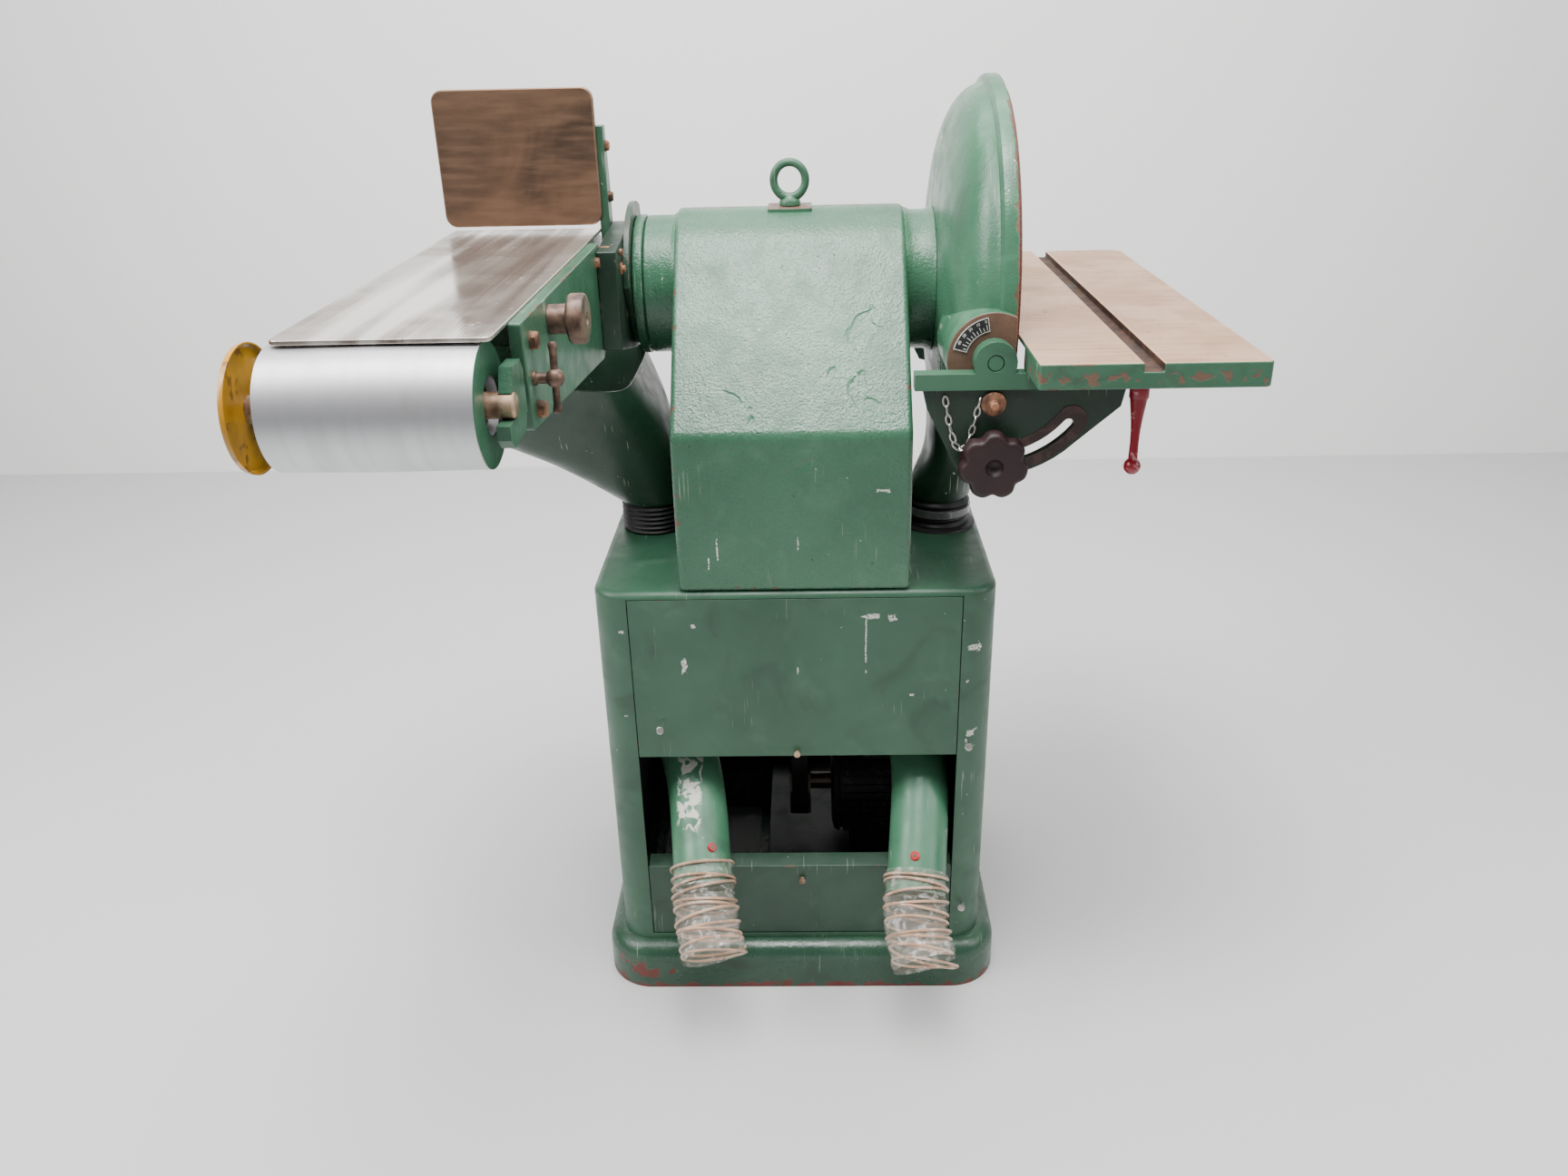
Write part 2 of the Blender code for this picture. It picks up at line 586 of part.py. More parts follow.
# ---------------------------------------------------------------- drive
def build_motor():
    plate_top = PLINTH_TOP + GAP + MOTOR_PLATE
    reach = CABINET_DEPTH / 2 - CABINET_SHEET - PLINTH_LEDGE / 3
    box("motor_plate", (-0.055, -reach, PLINTH_TOP + GAP), (MOTOR_X + MOTOR_LENGTH - 0.020, reach, plate_top),
        GREEN)
    end = MOTOR_X + MOTOR_LENGTH
    profile = [(end, 0), (end, 0.058), (end - 0.012, MOTOR_RADIUS - 0.006), (end - 0.020, MOTOR_RADIUS),
               (MOTOR_X + 0.012, MOTOR_RADIUS), (MOTOR_X, MOTOR_RADIUS - 0.010), (MOTOR_X, 0)]
    motor = turned("motor_body", profile, (0, MOTOR_Y, MOTOR_Z), (1, 0, 0), MOTOR_GREY, 32)
    foot_half = MOTOR_RADIUS * 0.8
    feet = box("motor_feet", (MOTOR_X + 0.030, MOTOR_Y - foot_half, MOTOR_BASE),
               (end - 0.030, MOTOR_Y + foot_half, MOTOR_Z - MOTOR_RADIUS * 0.55))
    join(motor, feet)
    terminal = box("terminal_cover", (MOTOR_X + 0.050, MOTOR_Y - 0.045, MOTOR_Z + MOTOR_RADIUS * 0.8),
                   (MOTOR_X + 0.130, MOTOR_Y + 0.045, MOTOR_Z + MOTOR_RADIUS + 0.022))
    join(motor, terminal)
    half = PULLEY_WIDTH / 2
    grip = MOTOR_PULLEY_RADIUS - BELT_GROOVE
    rim = DRIVE_BELT_WIDTH / 2 + GAP
    shaft_end = MOTOR_X - GAP
    rotor = [(shaft_end, 0), (shaft_end, 0.014), (half, 0.014), (half, MOTOR_PULLEY_RADIUS),
             (rim, MOTOR_PULLEY_RADIUS), (rim, grip), (-rim, grip), (-rim, MOTOR_PULLEY_RADIUS),
             (-half, MOTOR_PULLEY_RADIUS), (-half, 0)]
    turned("motor_pulley", rotor, (0, MOTOR_Y, MOTOR_Z), (1, 0, 0), STEEL, 24)


def racetrack(lower, low_radius, upper, high_radius, steps=16):
    """The outline of a belt round two pulleys, one above the other."""
    rise = upper[1] - lower[1]
    lean = math.asin((low_radius - high_radius) / rise)
    return (arc(lower, low_radius, math.pi - lean, math.tau + lean, steps)
            + arc(upper, high_radius, lean, math.pi - lean, steps))


def build_drive_belt():
    low, high = (MOTOR_Y, MOTOR_Z), (SPINDLE_Y, SPINDLE_Z)
    low_grip = MOTOR_PULLEY_RADIUS - BELT_GROOVE + 2 * GAP
    high_grip = SPINDLE_PULLEY_RADIUS - BELT_GROOVE + 2 * GAP
    thickness = BELT_GROOVE
    outer = racetrack(low, low_grip + thickness, high, high_grip + thickness)
    inner = racetrack(low, low_grip, high, high_grip)
    half = DRIVE_BELT_WIDTH / 2 - GAP
    slab("drive_belt", [outer, inner], ALONG_X, -half, half, RUBBER)


def build_spindle():
    left, right = DRUM_LEFT - 0.012, DISC_FRONT - DISC_THICKNESS - GAP
    hub_back = right - 0.012
    profile = [(DISC_FRONT - 0.002, 0), (DISC_FRONT - 0.002, SHAFT_RADIUS * 0.6), (right, SHAFT_RADIUS * 0.6),
               (right, DISC_HUB_RADIUS), (hub_back, DISC_HUB_RADIUS), (hub_back, SHAFT_RADIUS),
               (left, SHAFT_RADIUS), (left, 0)]
    turned("spindle_shaft", profile, SPINDLE, (1, 0, 0), STEEL, 32)
    inner = SHAFT_RADIUS + SHAFT_CLEARANCE
    half = PULLEY_WIDTH / 2
    grip = SPINDLE_PULLEY_RADIUS - BELT_GROOVE
    rim = DRIVE_BELT_WIDTH / 2 + GAP
    pulley = [(half, inner), (half, SPINDLE_PULLEY_RADIUS), (rim, SPINDLE_PULLEY_RADIUS), (rim, grip),
              (-rim, grip), (-rim, SPINDLE_PULLEY_RADIUS), (-half, SPINDLE_PULLEY_RADIUS), (-half, inner)]
    turned("spindle_pulley", pulley, SPINDLE, (1, 0, 0), STEEL, 24)
    drum = [(DRUM_RIGHT, inner), (DRUM_RIGHT, DRUM_RADIUS - 0.001), (BELT_CENTRE_X, DRUM_RADIUS),
            (DRUM_LEFT, DRUM_RADIUS - 0.001), (DRUM_LEFT, inner)]
    turned("rear_drum", drum, SPINDLE, (1, 0, 0), ALUMINIUM, 40)
    back = DISC_FRONT - DISC_THICKNESS
    stub = SHAFT_RADIUS * 0.6 + SHAFT_CLEARANCE
    plate = [(DISC_FRONT, stub), (DISC_FRONT, DISC_RADIUS), (back, DISC_RADIUS), (back, stub)]
    turned("disc_plate", plate, SPINDLE, (1, 0, 0), ALUMINIUM, 48)
    face = DISC_FRONT + GAP
    sheet = [(face + ABRASIVE_THICKNESS, 0), (face + ABRASIVE_THICKNESS, DISC_RADIUS - 0.001),
             (face, DISC_RADIUS - 0.001), (face, 0)]
    turned("abrasive_disc", sheet, SPINDLE, (1, 0, 0), ABRASIVE, 48)


# ---------------------------------------------------------------- head
def head_outline(inset):
    """The head's section in Y and Z: front, slope, over the spindle housing and down the back."""
    radius = HEAD_RADIUS - inset
    front = HEAD_FRONT_Y + inset
    tangent = math.pi / 2 + HEAD_SLOPE
    meet = (SPINDLE_Y + radius * math.cos(tangent), SPINDLE_Z + radius * math.sin(tangent))
    knee = meet[1] - (meet[0] - front) * math.tan(HEAD_SLOPE)
    base = HEAD_BASE - inset
    over = arc((SPINDLE_Y, SPINDLE_Z), radius, tangent, 0, 14)
    return [(front, base), (front, knee)] + over + [(SPINDLE_Y + radius, base)]


def build_head():
    head = slab("head_casting", [head_outline(0)], ALONG_X, HEAD_LEFT, HEAD_RIGHT, GREEN)
    join(head, rod("left_hub", (LEFT_HUB_END, SPINDLE_Y, SPINDLE_Z), (HEAD_LEFT + 0.004, SPINDLE_Y, SPINDLE_Z),
                   LEFT_HUB_RADIUS, sides=36),
         rod("right_hub", (HEAD_RIGHT - 0.004, SPINDLE_Y, SPINDLE_Z), (RIGHT_HUB_END, SPINDLE_Y, SPINDLE_Z),
             RIGHT_HUB_RADIUS, sides=36))
    cut(head, slab("head_space", [head_outline(HEAD_WALL)], ALONG_X, HEAD_LEFT + HEAD_WALL,
                   HEAD_RIGHT - HEAD_WALL))
    cut(head, rod("bearing_bore", (LEFT_HUB_END - 0.01, SPINDLE_Y, SPINDLE_Z),
                  (RIGHT_HUB_END + 0.01, SPINDLE_Y, SPINDLE_Z), BEARING_RADIUS + SHAFT_CLEARANCE, sides=36))
    top = SPINDLE_Z + HEAD_RADIUS
    cut(head, rod("eyebolt_hole", (0, SPINDLE_Y, top - HEAD_WALL - 0.01), (0, SPINDLE_Y, top + 0.01), 0.0065))


def build_head_fittings():
    ring = [(BEARING_WIDTH, SHAFT_RADIUS + SHAFT_CLEARANCE), (BEARING_WIDTH, BEARING_RADIUS),
            (0, BEARING_RADIUS), (0, SHAFT_RADIUS + SHAFT_CLEARANCE)]
    turned("bearing_left", ring, (LEFT_HUB_END + 0.006, SPINDLE_Y, SPINDLE_Z), (1, 0, 0), STEEL, 24)
    turned("bearing_right", ring, (RIGHT_HUB_END - 0.006 - BEARING_WIDTH, SPINDLE_Y, SPINDLE_Z), (1, 0, 0),
           STEEL, 24)
    inner = SHAFT_RADIUS + 0.008
    face = LEFT_HUB_END - GAP
    cap = [(face, inner), (face, LEFT_HUB_RADIUS + 0.001), (CAP_END, LEFT_HUB_RADIUS + 0.001),
           (CAP_END, SPIGOT_RADIUS), (CAP_END - SPIGOT_LENGTH, SPIGOT_RADIUS), (CAP_END - SPIGOT_LENGTH, inner)]
    turned("end_cap", cap, SPINDLE, (1, 0, 0), GREEN, 40)
    seat = SPINDLE_Z + HEAD_RADIUS
    collar = seat + 0.010
    ring_z = collar + EYEBOLT_RING_RADIUS + EYEBOLT_WIRE_RADIUS - 0.003
    bolt = [(collar, 0), (collar, EYEBOLT_COLLAR_RADIUS * 0.8), (collar - 0.003, EYEBOLT_COLLAR_RADIUS),
            (seat + GAP, EYEBOLT_COLLAR_RADIUS), (seat + GAP, 0.006), (seat - EYEBOLT_SHANK, 0.006),
            (seat - EYEBOLT_SHANK, 0)]
    eyebolt = turned("eyebolt", bolt, (0, SPINDLE_Y, 0), (0, 0, 1), GREEN, 24)
    bm = bmesh.new()
    section = circle((EYEBOLT_RING_RADIUS, 0), EYEBOLT_WIRE_RADIUS, 8)
    steps = 22
    rings = []
    for k in range(steps):
        turn = Matrix.Rotation(math.tau * k / steps, 3, "Y")
        rings.append([bm.verts.new(Vector((0, SPINDLE_Y, ring_z)) + turn @ Vector((x, y, 0)))
                      for x, y in section])
    for k in range(steps):
        for j in range(8):
            bm.faces.new((rings[k][j], rings[k][(j + 1) % 8], rings[(k + 1) % steps][(j + 1) % 8],
                          rings[(k + 1) % steps][j]))
    join(eyebolt, finish_bmesh("eyebolt_ring", bm))


# ---------------------------------------------------------------- disc unit
def housing_curve(inset):
    """The bowl's profile from the shaft hole out to the lip, as (X, radius)."""
    back = HOUSING_BACK + inset
    side = HOUSING_RADIUS - 0.012 - inset
    flat = HOUSING_FLAT_RADIUS
    lip = RIM_X - HOUSING_LIP
    points = [(back, flat * 0.7), (back + 0.002, flat)]
    reach = lip - back - 0.002
    turns = [math.radians(18 * k) for k in range(1, 6)]
    points += [(back + 0.002 + reach * (1 - math.cos(a)) , flat + (side - flat) * math.sin(a)) for a in turns]
    return points


def build_housing():
    hole = SHAFT_RADIUS + 0.012
    outer = [(RIM_X, 0), (RIM_X, HOUSING_RADIUS - 0.003), (RIM_X - 0.003, HOUSING_RADIUS),
             (RIM_X - HOUSING_LIP + 0.004, HOUSING_RADIUS), (RIM_X - HOUSING_LIP, HOUSING_RADIUS - 0.004)]
    profile = outer + housing_curve(0)[::-1] + [(HOUSING_BACK, 0)]
    housing = turned("disc_housing", profile, SPINDLE, (1, 0, 0), GREEN, HOUSING_STEPS)
    for sign in (-1, 1):
        seat = SPINDLE_Y + sign * (BOSS_FACE - GAP)
        inner = SPINDLE_Y + sign * (BOSS_FACE - 0.122)
        face = [(min(x, RIM_X - 0.001), z) for x, z in circle((PIVOT_X, PIVOT_Z), PIVOT_FACE_RADIUS, 40)]
        join(housing, slab("pivot_boss", [face], ALONG_Y, min(seat, inner), max(seat, inner)))
        join(housing, rod("stud_boss", (PIVOT_X, seat, PIVOT_Z - ARC_RADIUS),
                          (PIVOT_X, SPINDLE_Y + sign * (BOSS_FACE - 0.172), PIVOT_Z - ARC_RADIUS), 0.024))
    back, front = HOUSING_BACK + HOUSING_WALL, RIM_X + 0.01
    wide = HOUSING_RADIUS - HOUSING_WALL
    inside = [(front, 0), (front, wide), (RIM_X - HOUSING_LIP + 0.006, wide)]
    inside += housing_curve(HOUSING_WALL)[::-1] + [(back, hole), (HOUSING_BACK - 0.01, hole), (HOUSING_BACK - 0.01, 0)]
    cut(housing, turned("housing_space", inside, SPINDLE, (1, 0, 0), steps=HOUSING_STEPS))
    outlet_x = (HOUSING_BACK + RIM_X) / 2 - 0.008
    cut(housing, rod("dust_outlet", (outlet_x, SPINDLE_Y, SPINDLE_Z - HOUSING_RADIUS - 0.02),
                     (outlet_x, SPINDLE_Y, SPINDLE_Z - HOUSING_RADIUS + 0.04), 0.022, sides=24),
        solver="MANIFOLD")
    for sign in (-1, 1):
        seat = SPINDLE_Y + sign * (BOSS_FACE + 0.01)
        deep = SPINDLE_Y + sign * (BOSS_FACE - 0.012)
        for drop, radius in ((0, PIVOT_RADIUS), (ARC_RADIUS, STUD_RADIUS)):
            cut(housing, rod("boss_hole", (PIVOT_X, seat, PIVOT_Z - drop), (PIVOT_X, deep, PIVOT_Z - drop),
                             radius + GAP, sides=24), solver="MANIFOLD")
    seat, deep = SPINDLE_Y - BOSS_FACE - 0.01, SPINDLE_Y - BOSS_FACE + 0.010
    cut(housing, rod("index_hole", (PIVOT_X, seat, INDEX_Z), (PIVOT_X, deep, INDEX_Z), 0.0055, sides=16),
        solver="MANIFOLD")


def build_duct():
    """Gathers the dust below the housing into the round hose."""
    base = HOSE_TOP - 0.014
    mid = (HOUSING_BACK + RIM_X) / 2
    sides = 24
    loops = []
    stations = ((base, HOSE_X, HOSE_Y, HOSE_RADIUS - HOSE_WALL - 0.0006, HOSE_RADIUS - HOSE_WALL - 0.0006, 1.0),
                (HOSE_TOP + GAP, HOSE_X, HOSE_Y, HOSE_RADIUS - HOSE_WALL - 0.0006,
                 HOSE_RADIUS - HOSE_WALL - 0.0006, 1.0),
                (HOSE_TOP + 0.006, HOSE_X, HOSE_Y, HOSE_RADIUS - 0.001, HOSE_RADIUS - 0.001, 1.0),
                (HOSE_TOP + 0.030, HOSE_X + 0.006, HOSE_Y + 0.002, HOSE_RADIUS - 0.003, HOSE_RADIUS + 0.010, 0.8),
                (HOSE_TOP + 0.075, mid, SPINDLE_Y, HOUSING_DEPTH * 0.46, 0.080, 0.55),
                (SPINDLE_Z - HOUSING_FLAT_RADIUS - 0.022, mid, SPINDLE_Y, HOUSING_DEPTH * 0.46, 0.092, 0.45))
    for z, x, y, half_x, half_y, power in stations:
        loop = []
        for k in range(sides):
            a = math.tau * k / sides
            c, s = math.cos(a), math.sin(a)
            loop.append((x + half_x * math.copysign(abs(c) ** power, c),
                         y + half_y * math.copysign(abs(s) ** power, s), z))
        loops.append(loop)
    duct = loft("disc_duct", loops, 0.003, GREEN)
    facets = 40
    swell = 1 / math.cos(math.pi / facets)
    clear = [(RIM_X + 0.05, 0), (RIM_X + 0.05, (HOUSING_RADIUS + GAP) * swell),
             (RIM_X - HOUSING_LIP - GAP, (HOUSING_RADIUS + GAP) * swell)]
    clear += [(x - 2 * GAP, (radius + 2 * GAP) * swell) for x, radius in housing_curve(0)[::-1]]
    clear.append((HOUSING_BACK - 2 * GAP, 0))
    cut(duct, turned("housing_clearance", clear, (0, SPINDLE_Y, SPINDLE_Z), (1, 0, 0), steps=facets))


def trunnion_outline():
    """The web below the flange, with a rounded foot that carries the arc slot."""
    pivot = (PIVOT_X, PIVOT_Z)
    top = TABLE_BASE - GAP - 0.004
    outer = arc(pivot, ARC_RADIUS + ARC_BAND, math.radians(-106), math.radians(-45), 10)
    right = LEVER_X - LEVER_HUB_RADIUS - 0.0100
    return [(PIVOT_X - 0.090, top), (PIVOT_X - 0.080, top - 0.040)] + outer + [(right, top - 0.040),
                                                                               (right + 0.008, top)]


def arc_slot():
    pivot = (PIVOT_X, PIVOT_Z)
    half = ARC_SLOT_WIDTH / 2
    ends = []
    for angle, start in ((ARC_END, ARC_END), (ARC_START, ARC_START - math.pi)):
        centre = (pivot[0] + ARC_RADIUS * math.cos(angle), pivot[1] + ARC_RADIUS * math.sin(angle))
        ends.append(arc(centre, half, start, start + math.pi, 6)[1:-1])
    return (arc(pivot, ARC_RADIUS + half, ARC_START, ARC_END, 12) + ends[0]
            + arc(pivot, ARC_RADIUS - half, ARC_END, ARC_START, 12) + ends[1])


def build_trunnion(name, sign):
    """An upright web under a flange, with a lug round the pivot pin; sign -1 is the front one."""
    seat = SPINDLE_Y + sign * TRUNNION_INNER
    outside = SPINDLE_Y + sign * TRUNNION_OUTER
    middle = SPINDLE_Y + sign * WEB_OUTER
    web_in = middle - sign * TRUNNION_WEB
    top = TABLE_BASE - GAP
    flange = [(PIVOT_X - 0.096, top - FLANGE_DEPTH), (PIVOT_X - 0.096, top)]
    hump = math.acos((top - PIVOT_Z) / LUG_RADIUS) - math.pi / 2
    flange += arc((PIVOT_X, PIVOT_Z), LUG_RADIUS, math.pi + hump, -hump, 14)
    right = TABLE_INNER_X + TABLE_WIDTH * 0.62
    flange += [(right, top), (right, top - FLANGE_DEPTH)]
    pin_hole = circle((PIVOT_X, PIVOT_Z), PIVOT_RADIUS + GAP, 24)
    trunnion = slab(name, [flange, pin_hole], ALONG_Y, min(seat, outside), max(seat, outside), GREEN)
    index_hole = circle((PIVOT_X, INDEX_Z), 0.0055, 16)
    web = slab(name + "_web", [trunnion_outline(), arc_slot(), index_hole], ALONG_Y, min(web_in, middle),
               max(web_in, middle))
    join(trunnion, web)
    lever_y = SPINDLE_Y + sign * LEVER_SEAT
    cut(trunnion, rod("lever_hole", (LEVER_X, lever_y, top - 0.05), (LEVER_X, lever_y, top + 0.02),
                      STUD_RADIUS + GAP, sides=20))


def build_lock_knob(name, sign):
    """A lobed knob on the stud that passes through the arc slot."""
    outside = SPINDLE_Y + sign * (WEB_OUTER + GAP)
    inside = SPINDLE_Y + sign * (BOSS_FACE - 0.010)
    centre = (PIVOT_X, PIVOT_Z - ARC_RADIUS)
    outline = []
    for k in range(KNOB_LOBES * 6):
        a = math.tau * k / (KNOB_LOBES * 6)
        reach = KNOB_RADIUS * (0.90 + 0.10 * math.cos(KNOB_LOBES * a))
        outline.append((centre[0] + reach * math.sin(a), centre[1] + reach * math.cos(a)))
    near = outside + sign * 0.010
    far = near + sign * KNOB_THICKNESS
    knob = slab(name, [outline], ALONG_Y, min(near, far), max(near, far), MAROON)
    bevel(knob, 0.005, 1, 60)
    join(knob, rod(name + "_boss", (centre[0], outside, centre[1]), (centre[0], near + sign * 0.004, centre[1]),
                   0.017, sides=24))
    join(knob, rod(name + "_stud", (centre[0], inside, centre[1]), (centre[0], near, centre[1]), STUD_RADIUS,
                   sides=16))
    cut(knob, ball(name + "_dimple", (centre[0], far + sign * 0.004, centre[1]), 0.012))


def build_table():
    centre_y = SPINDLE_Y
    low_y, high_y = centre_y - TABLE_LENGTH / 2, centre_y + TABLE_LENGTH / 2
    corners = [(TABLE_INNER_X, low_y), (TABLE_INNER_X + TABLE_WIDTH, low_y),
               (TABLE_INNER_X + TABLE_WIDTH, high_y), (TABLE_INNER_X, high_y)]
    table = slab("disc_table", [rounded(corners, [0.004, 0.008, 0.020, 0.020], 4)], ALONG_Z, TABLE_BASE,
                 TABLE_TOP, TABLE_STEEL)
    half = TABLE_SLOT_WIDTH / 2
    slot = box("mitre_slot", (TABLE_SLOT_X - half, low_y - 0.01, TABLE_TOP - TABLE_SLOT_DEPTH),
               (TABLE_SLOT_X + half, high_y + 0.01, TABLE_TOP + 0.01))
    wedge = [(TABLE_INNER_X - 0.004, TABLE_BASE + TABLE_RELIEF + 0.004), (TABLE_INNER_X - 0.004, TABLE_BASE - 0.004),
             (TABLE_INNER_X + TABLE_RELIEF + 0.004, TABLE_BASE - 0.004)]
    reach = TRUNNION_INNER
    relief = slab("edge_relief", [wedge], ALONG_Y, centre_y - reach, centre_y + reach)
    well = box("underside_well", (TABLE_INNER_X + 0.052, centre_y - BOSS_FACE + 0.015, TABLE_BASE - 0.01),
               (TABLE_INNER_X + TABLE_WIDTH - 0.014, centre_y + BOSS_FACE - 0.015, TABLE_TOP - 0.016))
    cut(table, slot, relief, well)
    for sign in (-1, 1):
        lever = (LEVER_X, centre_y + sign * LEVER_SEAT)
        cut(table, rod("stud_socket", (*lever, TABLE_BASE - 0.01), (*lever, TABLE_BASE + 0.014),
                       STUD_RADIUS + GAP, sides=20))


def build_clamp_lever(name, sign):
    """A ball-ended lever on a stud that holds the table on its trunnion."""
    x, y = LEVER_X, SPINDLE_Y + sign * LEVER_SEAT
    hub_top = TABLE_BASE - FLANGE_DEPTH - 2 * GAP
    lever = rod(name, (x, y, hub_top - 0.016), (x, y, hub_top), LEVER_HUB_RADIUS, RED, 16)
    tip = Vector((x - 0.004, y - 0.016, hub_top - 0.097))
    join(lever, rod(name + "_arm", (x, y, hub_top - 0.010), tip, 0.0105, sides=16, end_radius=0.0055))
    join(lever, ball(name + "_ball", tip, 0.0105))
    join(lever, rod(name + "_stud", (x, y, hub_top - 0.006), (x, y, TABLE_BASE + 0.012), STUD_RADIUS, sides=16))


def build_table_fittings():
    for sign, side in ((-1, "front"), (1, "rear")):
        seat = SPINDLE_Y + sign * (BOSS_FACE - 0.010)
        outside = SPINDLE_Y + sign * (TRUNNION_OUTER - 0.0005)
        rod("pivot_pin_" + side, (PIVOT_X, seat, PIVOT_Z), (PIVOT_X, outside, PIVOT_Z), PIVOT_RADIUS, GREEN, 24)
        build_trunnion("trunnion_" + side, sign)
        build_lock_knob("lock_knob_" + side, sign)
        build_clamp_lever("clamp_lever_" + side, sign)
    web = SPINDLE_Y - WEB_OUTER - GAP
    tip = GAP - TRUNNION_WEB
    pin = [(0.017, 0), (0.017, 0.005), (0.007, 0.005), (0.006, 0.014), (0, 0.015), (0, 0.005), (tip, 0.005),
           (tip, 0)]
    turned("index_pin", pin, (PIVOT_X, web, INDEX_Z), (0, -1, 0), RUST, 24)
    hang = 0.060
    start = Vector((PIVOT_X - 0.058, web - 0.003, PIVOT_Z - 0.046))
    end = Vector((PIVOT_X - 0.0175, web - 0.004, INDEX_Z + 0.002))
    steps = 14
    chain = []
    for k in range(steps + 1):
        t = k / steps
        chain.append(start.lerp(end, t) - Vector((0, 0, 4 * hang * t * (1 - t))))
    tube_along("pin_chain", chain, 0.0014, STEEL)
    scale_in, scale_out = LUG_RADIUS + 0.008, PIVOT_FACE_RADIUS - 0.006
    start_turn, end_turn = math.radians(100), math.radians(165)
    band = (arc((PIVOT_X, PIVOT_Z), scale_out, start_turn, end_turn, 10)
            + arc((PIVOT_X, PIVOT_Z), scale_in, end_turn, start_turn, 10))
    face = SPINDLE_Y - BOSS_FACE
    slab("degree_scale", [band], ALONG_Y, face - 0.0015, face, PANEL_BLACK)


def tube_along(name, points, radius, material):
    curve = bpy.data.curves.new(name, "CURVE")
    curve.dimensions = "3D"
    curve.bevel_depth = radius
    curve.bevel_resolution = 2
    curve.use_fill_caps = True
    spline = curve.splines.new("POLY")
    spline.points.add(len(points) - 1)
    for point, place in zip(spline.points, points):
        point.co = (*place, 1)
    curve.materials.append(material)
    item = bpy.data.objects.new(name, curve)
    PARTS.objects.link(item)
    return item


# ---------------------------------------------------------------- belt unit
def build_arm():
    hub_right = CAP_END - 2 * GAP
    quadrant_left = hub_right - 0.008
    hub_left = SIDE_PLATE_RIGHT + GAP
    bore = circle((SPINDLE_Y, SPINDLE_Z), SPIGOT_RADIUS + SHAFT_CLEARANCE, 40)
    sector = arc((SPINDLE_Y, SPINDLE_Z), QUADRANT_RADIUS, math.radians(68), math.radians(172), 20)
    foot = arc((SPINDLE_Y, SPINDLE_Z), SPIGOT_RADIUS + 0.030, math.radians(215), math.radians(385), 16)
    slot_radius = QUADRANT_RADIUS - 0.028
    slot = (arc((SPINDLE_Y, SPINDLE_Z), slot_radius + 0.006, math.radians(80), math.radians(160), 12)
            + arc((SPINDLE_Y, SPINDLE_Z), slot_radius - 0.006, math.radians(160), math.radians(80), 12))
    slab("tilt_quadrant", [sector + foot, bore, slot], ALONG_X, quadrant_left, hub_right, STEEL)
    round_end = arc((SPINDLE_Y, SPINDLE_Z), 0.086, math.radians(-100), math.radians(100), 20)
    reach = SIDE_PLATE_REAR_Y - 0.030
    forward = [(reach, SPINDLE_Z + 0.070), (reach, SPINDLE_Z - 0.055)]
    slab("arm_hub", [round_end + forward, bore], ALONG_X, hub_left, quadrant_left - GAP, GREEN)
    top = PLATEN_TOP - 0.002
    corners = [(SIDE_PLATE_FRONT_Y, top), (SIDE_PLATE_FRONT_Y + 0.012, top - 0.109),
               (SIDE_PLATE_REAR_Y - 0.012, top - 0.146), (SIDE_PLATE_REAR_Y, top - 0.110), (SIDE_PLATE_REAR_Y, top)]
    slab("side_plate", [rounded(corners, [0.003, 0.006, 0.02, 0.02, 0.003], 4)], ALONG_X, SIDE_PLATE_LEFT,
         SIDE_PLATE_RIGHT, GREEN)
    bracket = [(BACKSTOP_THICKNESS / 2 + GAP, SPINDLE_Z + 0.050), (0.036, SPINDLE_Z + 0.050),
               (0.036, PLATEN_TOP + 0.060), (0.026, PLATEN_TOP + 0.132), (BACKSTOP_THICKNESS / 2 + GAP,
                                                                            PLATEN_TOP + 0.132)]
    outside = slab("backstop_bracket", [bracket], ALONG_X, SIDE_PLATE_LEFT, SIDE_PLATE_RIGHT, GREEN)
    join(outside, box("bracket_ledge", (SIDE_PLATE_LEFT - 0.030, BACKSTOP_THICKNESS / 2 + GAP, PLATEN_TOP + 0.040),
                      (SIDE_PLATE_LEFT + 0.004, 0.016, PLATEN_TOP + 0.120)))


def build_platen():
    left = SIDE_PLATE_LEFT + 0.0025 - PLATEN_WIDTH
    right = SIDE_PLATE_LEFT - GAP
    corners = [(left, PLATEN_FRONT_Y), (right, PLATEN_FRONT_Y), (right, PLATEN_REAR_Y), (left, PLATEN_REAR_Y)]
    slab("platen", [rounded(corners, [0.010, 0.008, 0.002, 0.002], 4)], ALONG_Z, PLATEN_BASE, PLATEN_TOP, STEEL)
    front, back = ROLLER_Y + ROLLER_RADIUS + 0.030, SPINDLE_Y - DRUM_RADIUS - 0.012
    bed = box("platen_bed", (left + 0.010, front, BED_BASE), (right, back, BED_TOP), GREEN)
    cell = 0.012
    width, length = right - left - 0.010, back - front
    for column in range(2):
        for row in range(3):
            x = left + 0.010 + cell + column * (width - cell) / 2
            y = front + cell + row * (length - cell) / 3
            cut(bed, box("bed_cell", (x, y, BED_BASE - 0.01), (x + (width - 3 * cell) / 2, y + (length - 4 * cell) / 3,
                                                              BED_TOP - 0.008)))
    half = BACKSTOP_WIDTH / 2
    middle = (left + right) / 2
    base = PLATEN_TOP + BACKSTOP_LIFT
    plate = rounded([(middle - half, base), (middle + half, base), (middle + half, base + BACKSTOP_HEIGHT),
                     (middle - half, base + BACKSTOP_HEIGHT)], BACKSTOP_CORNER, 6)
    slab("backstop_plate", [plate], ALONG_Y, -BACKSTOP_THICKNESS / 2, BACKSTOP_THICKNESS / 2, STEEL)


